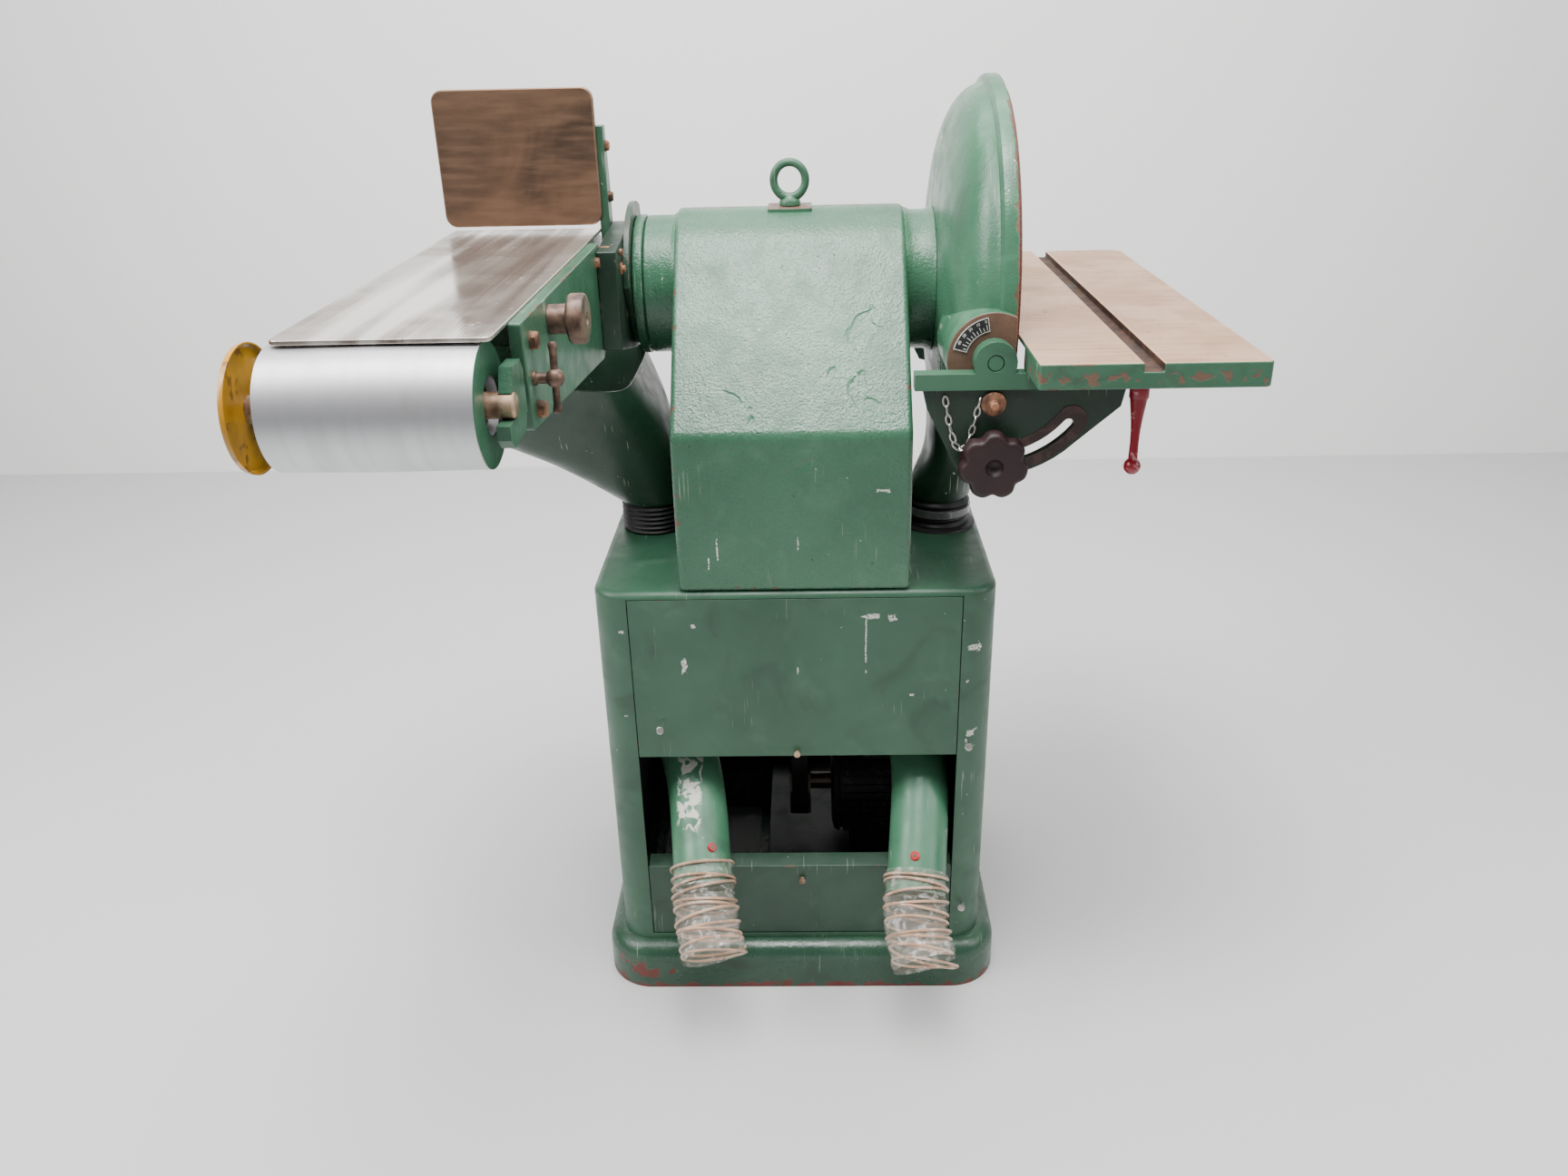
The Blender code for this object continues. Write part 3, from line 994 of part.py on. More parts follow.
def build_roller():
    bore = AXLE_RADIUS + SHAFT_CLEARANCE
    roller = [(DRUM_RIGHT - 0.010, bore), (DRUM_RIGHT - 0.010, 0.026), (DRUM_RIGHT, 0.027),
              (DRUM_RIGHT, ROLLER_RADIUS - 0.001), (BELT_CENTRE_X, ROLLER_RADIUS),
              (DRUM_LEFT, ROLLER_RADIUS - 0.001), (DRUM_LEFT, bore)]
    turned("front_roller", roller, (0, ROLLER_Y, ROLLER_Z), (1, 0, 0), ALUMINIUM, 36)
    claw_left, claw_right = SIDE_PLATE_LEFT - 0.0005, SIDE_PLATE_RIGHT - 0.0010
    axle_left = DRUM_LEFT - GUARD_GAP - GUARD_DEPTH - 0.0015
    rod("idler_axle", (axle_left, ROLLER_Y, ROLLER_Z), (claw_right + 0.001, ROLLER_Y, ROLLER_Z), AXLE_RADIUS, RUST, 32)
    front, back = ROLLER_Y - 0.027, SIDE_PLATE_FRONT_Y - 0.006
    foot, top = ROLLER_Z - 0.036, ROLLER_Z + 0.034
    claw_shape = [(front, ROLLER_Z - AXLE_RADIUS), (front, foot + 0.010), (front + 0.010, foot),
                  (back - 0.014, foot), (back, foot + 0.022), (back, top - 0.012), (back - 0.010, top),
                  (ROLLER_Y + 0.006, top), (ROLLER_Y - 0.006, ROLLER_Z + AXLE_RADIUS)]
    claw = slab("roller_fork", [claw_shape], ALONG_X, claw_left, claw_right, GREEN)
    slide_left, slide_right = SIDE_PLATE_LEFT - 0.034, SIDE_PLATE_LEFT - 2 * GAP
    neck_left = DRUM_RIGHT + 0.0015
    toe = box("fork_toe", (neck_left, back - 0.014, ROLLER_Z - 0.020), (claw_right, back, ROLLER_Z + 0.020))
    neck = box("fork_neck", (neck_left, back - 0.012, ROLLER_Z - 0.020),
               (slide_right, SIDE_PLATE_FRONT_Y + 0.030, ROLLER_Z + 0.020))
    slide_front = ROLLER_Y + ROLLER_RADIUS + 0.006
    slide = box("fork_slide", (slide_left, slide_front, ROLLER_Z - 0.022),
                (slide_right, SIDE_PLATE_FRONT_Y + 0.125, ROLLER_Z + 0.022))
    join(claw, toe, neck, slide)
    held = AXLE_RADIUS + GAP
    cut(claw, rod("axle_bore", (claw_left - 0.01, ROLLER_Y, ROLLER_Z), (claw_right + 0.01, ROLLER_Y, ROLLER_Z),
                  held, sides=32),
        box("axle_mouth", (claw_left - 0.01, front - 0.01, ROLLER_Z - held + 0.0004),
            (claw_right + 0.01, ROLLER_Y, ROLLER_Z + held - 0.0004)))
    plate = DRUM_LEFT - GUARD_GAP - GUARD_DEPTH
    dish = [(plate + GUARD_DEPTH, GUARD_RADIUS - 0.0015), (plate + GUARD_DEPTH, GUARD_RADIUS),
            (plate + 0.0025, GUARD_RADIUS), (plate, GUARD_RADIUS - 0.0025), (plate, AXLE_RADIUS + GAP),
            (plate + 0.0015, AXLE_RADIUS + GAP), (plate + 0.0015, GUARD_RADIUS - 0.0035),
            (plate + 0.0035, GUARD_RADIUS - 0.0015)]
    turned("end_guard", dish, (0, ROLLER_Y, ROLLER_Z), (1, 0, 0), YELLOW, 32)


def build_arm_controls():
    face = SIDE_PLATE_RIGHT + GAP
    y, z = SIDE_PLATE_FRONT_Y + 0.028, ROLLER_Z + 0.0035
    handle = rod("lock_handle", (face, y, z), (face + 0.024, y, z), 0.0055, RUST, 20)
    join(handle, ball("handle_ball", (face + 0.021, y, z), 0.0095),
         rod("tommy_bar", (face + 0.021, y, z - 0.035), (face + 0.021, y, z + 0.035), 0.004, sides=16))
    y, z = SIDE_PLATE_FRONT_Y + 0.127, PLATEN_TOP - 0.026
    knob = [(0.0395, 0), (0.0395, 0.022), (0.036, 0.026), (0.022, 0.026), (0.019, 0.0155), (0, 0.0155), (0, 0)]
    turned("tracking_knob", knob, (face, y, z), (1, 0, 0), RUST, 32)
    for name, drop in (("slide_bolt_upper", 0.026), ("slide_bolt_lower", 0.096)):
        rod(name, (face, SIDE_PLATE_FRONT_Y + 0.034, PLATEN_TOP - drop),
            (face + 0.008, SIDE_PLATE_FRONT_Y + 0.034, PLATEN_TOP - drop), 0.0085, RUST, 6)


def build_hood():
    """Catches the belt's dust under the drum and leads it to the left hose."""
    left, right = DRUM_LEFT - 0.010, CAP_END - SPIGOT_LENGTH + 0.012
    inner = HOSE_RADIUS - HOSE_WALL - 0.0006
    stations = ((HOSE_TOP - 0.014, (-HOSE_X, HOSE_Y), (inner, inner), 1.0),
                (HOSE_TOP + GAP, (-HOSE_X, HOSE_Y), (inner, inner), 1.0),
                (HOSE_TOP + 0.004, (-HOSE_X, HOSE_Y), (HOSE_RADIUS - 0.001, HOSE_RADIUS - 0.001), 0.9),
                (HOSE_TOP + 0.075, (-HOSE_X - 0.048, HOSE_Y), (0.092, 0.085), 0.6),
                (HOSE_TOP + 0.145, (-HOSE_X - 0.118, HOSE_Y), (0.140, 0.125), 0.45),
                (HOSE_TOP + 0.200, ((left + right) / 2, HOSE_Y), ((right - left) / 2, 0.150), 0.35))
    sides = 24
    loops = []
    for z, (x, y), (half_x, half_y), power in stations:
        loop = []
        for k in range(sides):
            a = math.tau * (k + 0.5) / sides
            c, s = math.cos(a), math.sin(a)
            side_x = x + half_x * math.copysign(abs(c) ** power, c)
            raised = HOOD_RISE * (right - side_x) / (right - left) if z > HOSE_TOP + 0.19 else 0.0
            loop.append((side_x, y + half_y * math.copysign(abs(s) ** power, s), z + raised))
        loops.append(loop)
    loft("belt_hood", loops, 0.003, GREEN)


def build_starter():
    wide, deep, tall = STARTER_SIZE
    back = -CABINET_FRONT_Y + GAP
    low = STARTER_Z
    starter = box("starter_box", (-wide / 2, back, low), (wide / 2, back + deep, low + tall), MOTOR_GREY)
    bevel(starter, 0.006, 2)
    face = back + deep
    for name, rise, colour in (("start_button", 0.70, START_GREEN), ("stop_button", 0.32, STOP_RED)):
        z = low + tall * rise
        cut(starter, rod(name + "_well", (0, face - 0.012, z), (0, face + 0.01, z), BUTTON_RADIUS + 2 * GAP,
                         sides=32))
        rod(name, (0, face - 0.012 + BUTTON_TRAVEL + GAP, z), (0, face + 0.007, z), BUTTON_RADIUS, colour, 32)


build_plinth()
build_cabinet()
build_panels()
build_dust_pipes()
build_upper_hoses()
build_motor()
build_drive_belt()
build_spindle()
build_head()
build_head_fittings()
build_housing()
build_duct()
build_table()
build_table_fittings()
build_arm()
build_platen()
build_roller()
build_arm_controls()
build_hood()
build_starter()
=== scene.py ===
"""The looks of a floor-standing belt and disc sander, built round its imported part.

Metres, +Z up, +X towards the disc, -Y towards the open front of the cabinet. The origin is on the
floor at the centre of the base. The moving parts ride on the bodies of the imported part."""

import json
import math
import random

import bmesh
import bpy
from mathutils import Matrix, Vector


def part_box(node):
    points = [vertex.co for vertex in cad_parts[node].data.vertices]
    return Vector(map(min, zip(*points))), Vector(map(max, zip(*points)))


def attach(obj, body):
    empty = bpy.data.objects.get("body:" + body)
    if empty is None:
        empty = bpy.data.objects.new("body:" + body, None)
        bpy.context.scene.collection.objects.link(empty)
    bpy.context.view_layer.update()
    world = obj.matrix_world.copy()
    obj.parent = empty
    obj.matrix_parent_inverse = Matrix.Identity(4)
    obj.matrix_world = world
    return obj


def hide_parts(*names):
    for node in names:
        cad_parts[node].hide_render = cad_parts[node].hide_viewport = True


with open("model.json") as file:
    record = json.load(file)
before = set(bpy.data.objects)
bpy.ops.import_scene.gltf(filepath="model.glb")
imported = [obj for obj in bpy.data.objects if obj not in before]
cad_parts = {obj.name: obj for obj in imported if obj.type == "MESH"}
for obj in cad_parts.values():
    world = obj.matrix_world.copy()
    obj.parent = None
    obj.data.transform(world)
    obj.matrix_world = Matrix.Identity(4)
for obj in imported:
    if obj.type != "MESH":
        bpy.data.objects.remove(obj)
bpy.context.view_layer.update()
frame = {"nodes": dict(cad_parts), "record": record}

# ---------------------------------------------------------------- sizes, in metres
MM = 0.001

PLINTH_SIZE = (0.598, 0.525, 0.075)
PLINTH_CORNER = 0.070
PLINTH_ROUND = 0.026
PLINTH_WELL = (0.492, 0.419)
PLINTH_WEB_WIDTH = 0.150
PLINTH_WEB = 0.012

CABINET_SIZE = (0.548, 0.475)
CABINET_CORNER = 0.045
CABINET_FOOT = 0.0753
CABINET_TOP = 0.659
CABINET_SHEET = 0.004
CABINET_LID = 0.006
CABINET_FRONT = -CABINET_SIZE[1] / 2
FRONT_OPENING = (0.452, 0.084, 0.650)        # width, bottom, top
REAR_OPENING = (0.300, 0.110, 0.330)

SPINDLE = Vector((0.0, 0.025, 1.017))
SHAFT_RADIUS = 0.020

HEAD_HALF = 0.154
HEAD_FRONT = -0.235
HEAD_SLOPE = math.radians(48.8)
HEAD_RADIUS = 0.102
HEAD_WALL = 0.008
LEFT_COLLAR = (-0.197, 0.093)                 # end, radius
RIGHT_COLLAR = (0.193, 0.099)
CAP_END = -0.2110
SPIGOT_RADIUS = 0.050
SPIGOT_LENGTH = 0.020

HOSE_X = 0.214
HOSE_Y = 0.012
HOSE_RADIUS = 0.047
HOSE_WALL = 0.005
HOSE_TOP = 0.702
PIPE_RADIUS = 0.042
OUTLET_RADIUS = 0.048

HOUSING_BACK = 0.1933
RIM_X = 0.2750
HOUSING_RADIUS = 0.264
HOUSING_WALL = 0.007
HOUSING_LIP = 0.021
HOUSING_FLAT = 0.120
DISC_RADIUS = 0.254
DISC_FRONT = 0.2760

PIVOT = Vector((0.2465, 0.0, 0.972))
BOSS_RADIUS = 0.056
BOSS_FACE = 0.272                             # from the spindle axis along Y, like the next two
TRUNNION_OUTER = 0.2965
WEB_OUTER = 0.2905
ARC_RADIUS = 0.121
ARC_START = math.radians(-94)
ARC_END = math.radians(-40)
KNOB_RADIUS = 0.044
INDEX_Z = PIVOT.z - 0.050
TABLE_BASE = 0.960
FLANGE_DEPTH = 0.020
TABLE_TOP = 0.990
TABLE_INNER = 0.283
TABLE_WIDTH = 0.264
LEVER_X = TABLE_INNER + TABLE_WIDTH * 0.53
LEVER_SEAT = 0.284
MITRE_SLOT_X = TABLE_INNER + 0.1295

DRUM_LEFT = -0.466
DRUM_RIGHT = -0.268
DRUM_RADIUS = 0.0735
ROLLER = Vector((0.0, -0.617, 1.0305))
ROLLER_RADIUS = 0.060
AXLE_RADIUS = 0.0125
SIDE_RIGHT = -0.2455
SIDE_FRONT = -0.565
PLATEN_TOP = 1.096
GUARD_RADIUS = 0.061
GUARD_DEPTH = 0.006
GUARD_GAP = 0.0225
HOOD_RISE = 0.033

ALONG_X = Matrix(((0, 0, 1), (1, 0, 0), (0, 1, 0))).to_4x4()      # drawing x, y, depth -> Y, Z, X
ALONG_Y = Matrix(((1, 0, 0), (0, 0, -1), (0, 1, 0))).to_4x4()     # -> X, Z, -Y
ALONG_Z = Matrix.Identity(4)

BODY_OF = {node: body for body, nodes in frame["record"]["behaviour"]["bodies"].items() for node in nodes}


# ---------------------------------------------------------------- node trees in plain sums
class Value:
    """A socket that can be used in sums."""

    def __init__(self, board, socket):
        self.board = board
        self.socket = socket

    def sum(self, operation, other=None, swapped=False):
        terms = (other, self) if swapped else (self, other)
        return self.board.maths(operation, *terms)

    def __add__(self, other):
        return self.sum("ADD", other)

    __radd__ = __add__

    def __sub__(self, other):
        return self.sum("SUBTRACT", other)

    def __rsub__(self, other):
        return self.sum("SUBTRACT", other, True)

    def __mul__(self, other):
        return self.sum("MULTIPLY", other)

    __rmul__ = __mul__

    def __truediv__(self, other):
        return self.sum("DIVIDE", other)

    def __rtruediv__(self, other):
        return self.sum("DIVIDE", other, True)

    def __gt__(self, other):
        return self.sum("GREATER_THAN", other)

    def __lt__(self, other):
        return self.sum("LESS_THAN", other)

    def __abs__(self):
        return self.board.maths("ABSOLUTE", self)

    def __pow__(self, other):
        return self.sum("POWER", other)


class Board:
    """A node tree under construction."""

    def __init__(self, tree):
        self.tree = tree

    def node(self, kind, settings=None, sockets=None, output=0):
        made = self.tree.nodes.new(kind)
        for name, value in (settings or {}).items():
            if name == "stops":
                self.set_stops(made.color_ramp, value)
            else:
                setattr(made, name, value)
        for name, value in (sockets or {}).items():
            self.feed(made.inputs[name], value)
        return Value(self, made.outputs[output])

    def feed(self, socket, value):
        if isinstance(value, Value):
            self.tree.links.new(value.socket, socket)
        else:
            socket.default_value = value

    @staticmethod
    def set_stops(ramp, stops):
        while len(ramp.elements) < len(stops):
            ramp.elements.new(0.5)
        for element, (position, colour) in zip(ramp.elements, stops):
            element.position = position
            element.color = (*colour, 1.0)

    def maths(self, operation, first, second=None):
        sockets = {0: first}
        if second is not None:
            sockets[1] = second
        return self.node("ShaderNodeMath", {"operation": operation}, sockets)


class Finish(Board):
    """A material whose pattern follows the piece's own place."""

    def __init__(self, name):
        self.material = bpy.data.materials.new(name)
        self.material.use_nodes = True
        super().__init__(self.material.node_tree)
        self.shader = self.tree.nodes["Principled BSDF"]
        self.place = self.node("ShaderNodeTexCoord", output="Object")

    def where(self, axis):
        return self.node("ShaderNodeSeparateXYZ", {}, {"Vector": self.place}, output=axis)

    def stretched(self, scale, turn=(0, 0, 0), centre=(0, 0, 0)):
        shifted = self.node("ShaderNodeVectorMath", {"operation": "SUBTRACT"}, {0: self.place, 1: centre})
        return self.node("ShaderNodeMapping", {}, {"Vector": shifted, "Rotation": turn, "Scale": scale})

    def noise(self, scale, detail=3.0, vector=None, distortion=0.0, roughness=0.5):
        return self.node("ShaderNodeTexNoise", {}, {"Vector": vector or self.place, "Scale": scale, "Detail": detail,
                                                    "Roughness": roughness, "Distortion": distortion})

    def cells(self, scale, vector=None, feature="F1"):
        return self.node("ShaderNodeTexVoronoi", {"feature": feature},
                         {"Vector": vector or self.place, "Scale": scale})

    def between(self, value, low, high):
        """0 below low, 1 above high and smooth between them."""
        return self.node("ShaderNodeMapRange", {"interpolation_type": "SMOOTHSTEP"},
                         {"Value": value, "From Min": low, "From Max": high})

    def attribute(self, name):
        return self.node("ShaderNodeAttribute", {"attribute_name": name}, {}, output="Fac")

    def mix(self, factor, below, above):
        blended = self.node("ShaderNodeMix", {"data_type": "RGBA"}, {"Factor": factor}, output=2)
        node = blended.socket.node
        for socket, value in ((node.inputs[6], below), (node.inputs[7], above)):
            self.feed(socket, value if isinstance(value, Value) else (*value, 1.0))
        return blended

    def mix_numbers(self, factor, below, above):
        return below + (above - below) * factor

    def relief(self, height, strength, distance, over=None):
        sockets = {"Height": height, "Strength": strength, "Distance": distance}
        if over is not None:
            sockets["Normal"] = over
        return self.node("ShaderNodeBump", {}, sockets)

    def set(self, **sockets):
        for name, value in sockets.items():
            socket = self.shader.inputs[name.replace("_", " ")]
            if isinstance(value, tuple) and len(value) == 3 and socket.type == "RGBA":
                value = (*value, 1.0)
            self.feed(socket, value)
        return self.material


# ---------------------------------------------------------------- finishes
GREEN_DEEP = (0.030, 0.100, 0.054)
GREEN_MID = (0.050, 0.142, 0.080)
GREEN_PALE = (0.088, 0.200, 0.118)
GRIME = (0.018, 0.022, 0.016)
CHIP_PALE = (0.42, 0.46, 0.37)
PLASTER = (0.62, 0.61, 0.55)
CHIP_DARK = (0.020, 0.017, 0.014)
BARE_BROWN = (0.115, 0.062, 0.038)
PRIMER_RED = (0.20, 0.026, 0.016)
RUST_LIGHT = (0.36, 0.17, 0.09)
RUST_DARK = (0.075, 0.035, 0.022)


def scratches(finish, seed, threshold=0.70, length=9.0, fineness=420.0):
    """Thin straight marks: noise that is long one way and fine across it, kept to a few patches."""
    marks = None
    for turn in range(2):
        angle = 0.5 + seed * 0.7 + turn * 1.9
        lined = finish.stretched((fineness, length, length * 1.3), (angle, angle * 0.6, angle * 1.3))
        line = finish.between(finish.noise(1.0, 1.0, lined), threshold, threshold + 0.03)
        marks = line if marks is None else finish.maths("MAXIMUM", marks, line)
    patches = finish.between(finish.noise(9.0 + seed, 2.0), 0.56, 0.66)
    return marks * patches


def machine_green(name, painted_light_tone=1.0, peel=0.5, scars=0.0, flecks=0.5, grime=0.5, seed=0.0, primer=None, bare=None,
                  scraped=None, gloss=0.36, wear=0.5, pitted=0.56):
    """Aged gloss paint on iron or sheet: uneven green, grime, chips, scratches and worn edges.
    primer, bare and scraped are masks, made by calls that take the finish, of red primer, brown metal and
    pale filler."""
    finish = Finish(name)
    shifted = finish.stretched((1, 1, 1), centre=(seed, seed * 0.6, seed * 0.3))
    cloud = finish.noise(5.0, 4.0, shifted)
    # painted_light_tone scales the whole green to paint how brightly or dimly the piece is lit: painted light and
    # painted shade
    colour = finish.mix(finish.between(cloud, 0.30, 0.70), tuple(c * painted_light_tone for c in GREEN_DEEP),
                        tuple(c * painted_light_tone for c in GREEN_MID))
    fade = finish.between(finish.noise(17.0, 5.0, shifted, 0.4), 0.52, 0.78)
    colour = finish.mix(fade * 0.45, colour, tuple(c * painted_light_tone for c in GREEN_PALE))
    dirt = finish.between(finish.noise(11.0, 6.0, shifted, 1.2), 0.54, 0.72) * grime
    colour = finish.mix(dirt * 0.6, colour, GRIME)
    pits = finish.between(finish.cells(40.0, shifted), 0.060, 0.040) * (finish.noise(13.0, 1.0, shifted) > pitted)
    colour = finish.mix(pits * 0.9, colour, CHIP_DARK)
    chip = 0.755 - 0.045 * flecks
    spots = finish.between(finish.noise(120.0, 3.0, shifted), chip, chip + 0.02) \
        * (finish.noise(6.0, 2.0, shifted) > 0.52)
    marks = finish.maths("MAXIMUM", spots, scratches(finish, seed) * flecks)
    colour = finish.mix(marks, colour, CHIP_PALE)
    ragged = finish.noise(70.0, 5.0, shifted)
    edge = finish.attribute("edge") * finish.between(ragged, 0.62 - 0.10 * wear, 0.66 - 0.10 * wear) \
        * finish.between(finish.noise(9.0, 3.0, shifted), 0.56 - 0.12 * wear, 0.60 - 0.12 * wear)
    colour = finish.mix(edge, colour, BARE_BROWN)
    worn = edge
    if primer:
        patch = primer(finish)
        colour = finish.mix(patch, colour, finish.mix(ragged, PRIMER_RED, (0.07, 0.02, 0.014)))
        worn = finish.maths("MAXIMUM", worn, patch)
    if bare:
        patch = bare(finish)
        brown = finish.mix(finish.noise(60.0, 5.0), RUST_DARK, (0.17, 0.10, 0.065))
        colour = finish.mix(patch, colour, brown)
        worn = finish.maths("MAXIMUM", worn, patch)
    if scraped:
        patch = scraped(finish)
        colour = finish.mix(patch, colour, PLASTER)
        worn = finish.maths("MAXIMUM", worn, patch)
    rough = finish.mix_numbers(finish.between(finish.noise(30.0, 4.0, shifted), 0.35, 0.75), gloss, gloss + 0.16)
    rough = rough + worn * 0.2 + dirt * 0.15
    skin = finish.noise(300.0, 2.0, shifted, 0.3)
    lumps = finish.noise(95.0, 2.0, shifted)
    height = skin * (0.8 * peel) + lumps * (0.55 * peel)
    if scars:
        basin = finish.between(finish.noise(12.0, 2.0, shifted, 0.8), 0.655, 0.70)
        height = height - basin * (scars * 1.7)
    height = height - worn * 0.5 - pits * 0.8
    return finish.set(Base_Color=colour, Roughness=rough, Normal=finish.relief(height, 0.55, 1.2 * MM),
                      Specular_IOR_Level=0.5)


def ground_steel(name, pale, dark, lines, rough=(0.22, 0.5), seed=0.0, bands=0.0, metallic=0.85):
    """Bare machined metal with a brown patina: lines is the stretch of its grinding marks."""
    finish = Finish(name)
    shifted = finish.stretched((1, 1, 1), centre=(seed, seed, seed))
    stain = finish.between(finish.noise(7.0, 6.0, shifted, 0.8), 0.32, 0.70)
    colour = finish.mix(stain, dark, pale)
    grain = finish.noise(1.0, 3.0, finish.stretched(lines))
    colour = finish.mix(finish.between(grain, 0.35, 0.75) * 0.35, colour, tuple(c * 1.5 for c in pale))
    spots = finish.between(finish.noise(85.0, 4.0, shifted), 0.64, 0.70) * (finish.noise(10.0, 2.0, shifted) > 0.56)
    colour = finish.mix(spots * 0.5, colour, RUST_DARK)
    roughness = finish.mix_numbers(stain, rough[1], rough[0]) + spots * 0.2
    if bands:
        strip = finish.between(finish.noise(1.0, 2.0, finish.stretched((28.0, 1.4, 1.0))), 0.42, 0.62)
        colour = finish.mix(strip * bands, colour, tuple(min(1.0, c * 2.4) for c in pale))
        roughness = roughness - strip * (bands * 0.10)
    edge = finish.attribute("edge")
    colour = finish.mix(edge * 0.5, colour, tuple(min(1.0, c * 1.7) for c in pale))
    return finish.set(Base_Color=colour, Roughness=roughness, Metallic=metallic,
                      Normal=finish.relief(grain + spots * -0.5, 0.25, 0.3 * MM))


def rusty_iron(name, light=RUST_LIGHT, dark=RUST_DARK, metallic=0.35, rough=0.55):
    finish = Finish(name)
    mottled = finish.noise(70.0, 6.0)
    colour = finish.mix(finish.between(mottled, 0.35, 0.66), dark, light)
    oily = finish.between(finish.noise(24.0, 3.0), 0.5, 0.7)
    colour = finish.mix(oily * 0.5, colour, (0.03, 0.022, 0.018))
    return finish.set(Base_Color=colour, Roughness=rough + mottled * 0.3 - oily * 0.2, Metallic=metallic,
                      Normal=finish.relief(mottled, 0.5, 0.6 * MM))


def turned_metal(name, colour, axis, centre, rough=0.28, lines=900.0, tint=None, streaks=0.3):
    """Metal from a lathe, with fine lines round its axis."""
    finish = Finish(name)
    scale = (lines, 3.0, 3.0) if axis == "X" else (3.0, lines, 3.0)
    grooves = finish.noise(1.0, 2.0, finish.stretched(scale, centre=centre))
    wide = finish.noise(1.0, 2.0, finish.stretched(tuple(s * 0.05 if s > 10 else s for s in scale), centre=centre))
    base = finish.mix(finish.between(wide, 0.35, 0.7) * streaks, colour, tuple(c * 0.62 for c in colour))
    base = finish.mix(finish.between(finish.noise(9.0, 5.0), 0.52, 0.75) * 0.35, base, tint or (0.36, 0.33, 0.31))
    edge = finish.attribute("edge")
    base = finish.mix(edge * 0.6, base, tuple(min(1.0, c * 1.3) for c in colour))
    return finish.set(Base_Color=base, Roughness=rough + wide * 0.18, Metallic=0.9,
                      Normal=finish.relief(grooves, 0.18, 0.2 * MM))


def moulded(name, colour, rough=0.35, worn=None, coat=0.0, grain=320.0):
    """Moulded plastic or rubber, with wear towards a second colour."""
    finish = Finish(name)
    cloud = finish.noise(26.0, 4.0)
    low, high = tuple(c * 0.72 for c in colour), tuple(c * 1.25 for c in colour)
    base = finish.mix(finish.between(cloud, 0.35, 0.7), low, high)
    if worn:
        rubbed = finish.between(finish.noise(46.0, 5.0, distortion=0.6), 0.54, 0.62)
        base = finish.mix(rubbed * 0.8, base, worn)
    fine = finish.noise(grain, 2.0)
    return finish.set(Base_Color=base, Roughness=rough + cloud * 0.15, Coat_Weight=coat,
                      Normal=finish.relief(fine, 0.15, 0.3 * MM))


def clear_film(name):
    """Aged clear duct film: milky, with a shine and creases."""
    finish = Finish(name)
    crease = finish.noise(55.0, 4.0, distortion=1.4)
    tinted = finish.mix(finish.between(crease, 0.4, 0.7), (0.80, 0.70, 0.60), (0.94, 0.90, 0.86))
    milky = finish.mix_numbers(finish.between(crease, 0.52, 0.70), 0.07, 0.30)
    return finish.set(Base_Color=tinted, Roughness=0.12 + crease * 0.15, Alpha=milky, Specular_IOR_Level=0.7,
                      Coat_Weight=0.4, Normal=finish.relief(crease, 0.6, 1.5 * MM))


def abrasive_grit(name):
    finish = Finish(name)
    grit = finish.noise(900.0, 2.0)
    loaded = finish.between(finish.noise(14.0, 4.0), 0.5, 0.7)
    colour = finish.mix(finish.between(grit, 0.4, 0.65), (0.055, 0.018, 0.013), (0.26, 0.085, 0.055))
    colour = finish.mix(loaded * 0.35, colour, (0.10, 0.07, 0.05))
    return finish.set(Base_Color=colour, Roughness=0.85, Normal=finish.relief(grit, 0.8, 0.4 * MM))


def red_lever_paint(name):
    finish = Finish(name)
    rubbed = finish.between(finish.noise(60.0, 5.0, distortion=0.8), 0.58, 0.64)
    colour = finish.mix(rubbed, (0.26, 0.006, 0.018), (0.50, 0.20, 0.20))
    return finish.set(Base_Color=colour, Roughness=0.3 + rubbed * 0.2, Coat_Weight=0.3,
                      Normal=finish.relief(rubbed, -0.3, 0.4 * MM))


def low_front_primer(finish):
    """Red primer along the foot of the plinth and in a patch at its front left."""
    ragged = finish.noise(45.0, 6.0, distortion=0.5)
    foot = finish.between(finish.where("Z") + (ragged - 0.5) * 0.050, 0.008, 0.003)
    front = finish.between(finish.where("Y"), -0.21, -0.25)
    left = finish.between(abs(finish.where("X") + 0.238) + (ragged - 0.5) * 0.12, 0.032, 0.024)
    low = finish.between(abs(finish.where("Z") - 0.030) + (ragged - 0.5) * 0.06, 0.014, 0.009)
    return finish.maths("MAXIMUM", foot * front, left * low * front)


def chips(finish, places, fineness=75.0):
    """Ragged marks at (x, z, half width, half height) places of an upright face."""
    ragged = finish.noise(fineness, 5.0, distortion=0.4)
    whole = finish.between(finish.noise(5 * fineness, 3.0), 0.40, 0.47)
    marks = None
    for x, z, half_x, half_z in places:
        wide = finish.between(abs(finish.where("X") - x + (ragged - 0.5) * (half_x * 3)), half_x, half_x * 0.7)
        tall = finish.between(abs(finish.where("Z") - z) + (ragged - 0.5) * (half_z * 3), half_z, half_z * 0.8)
        mark = wide * tall
        marks = mark if marks is None else finish.maths("MAXIMUM", marks, mark)
    return marks * whole * finish.between(finish.where("Y"), -0.15, -0.18)


def door_chips(finish):
    return chips(finish, ((0.096, 0.580, 0.0011, 0.042), (0.104, 0.622, 0.011, 0.0032), (0.131, 0.620, 0.0055, 0.0055),
                          (-0.153, 0.548, 0.0045, 0.013), (-0.138, 0.610, 0.0035, 0.0025),
                          (0.003, 0.540, 0.0012, 0.006), (0.160, 0.500, 0.003, 0.002)))


def jamb_chips(finish):
    return chips(finish, ((0.243, 0.572, 0.008, 0.005), (0.244, 0.436, 0.007, 0.006), (0.238, 0.425, 0.002, 0.004),
                          (-0.236, 0.602, 0.0035, 0.002), (-0.238, 0.470, 0.003, 0.002), (0.236, 0.520, 0.002, 0.002)))


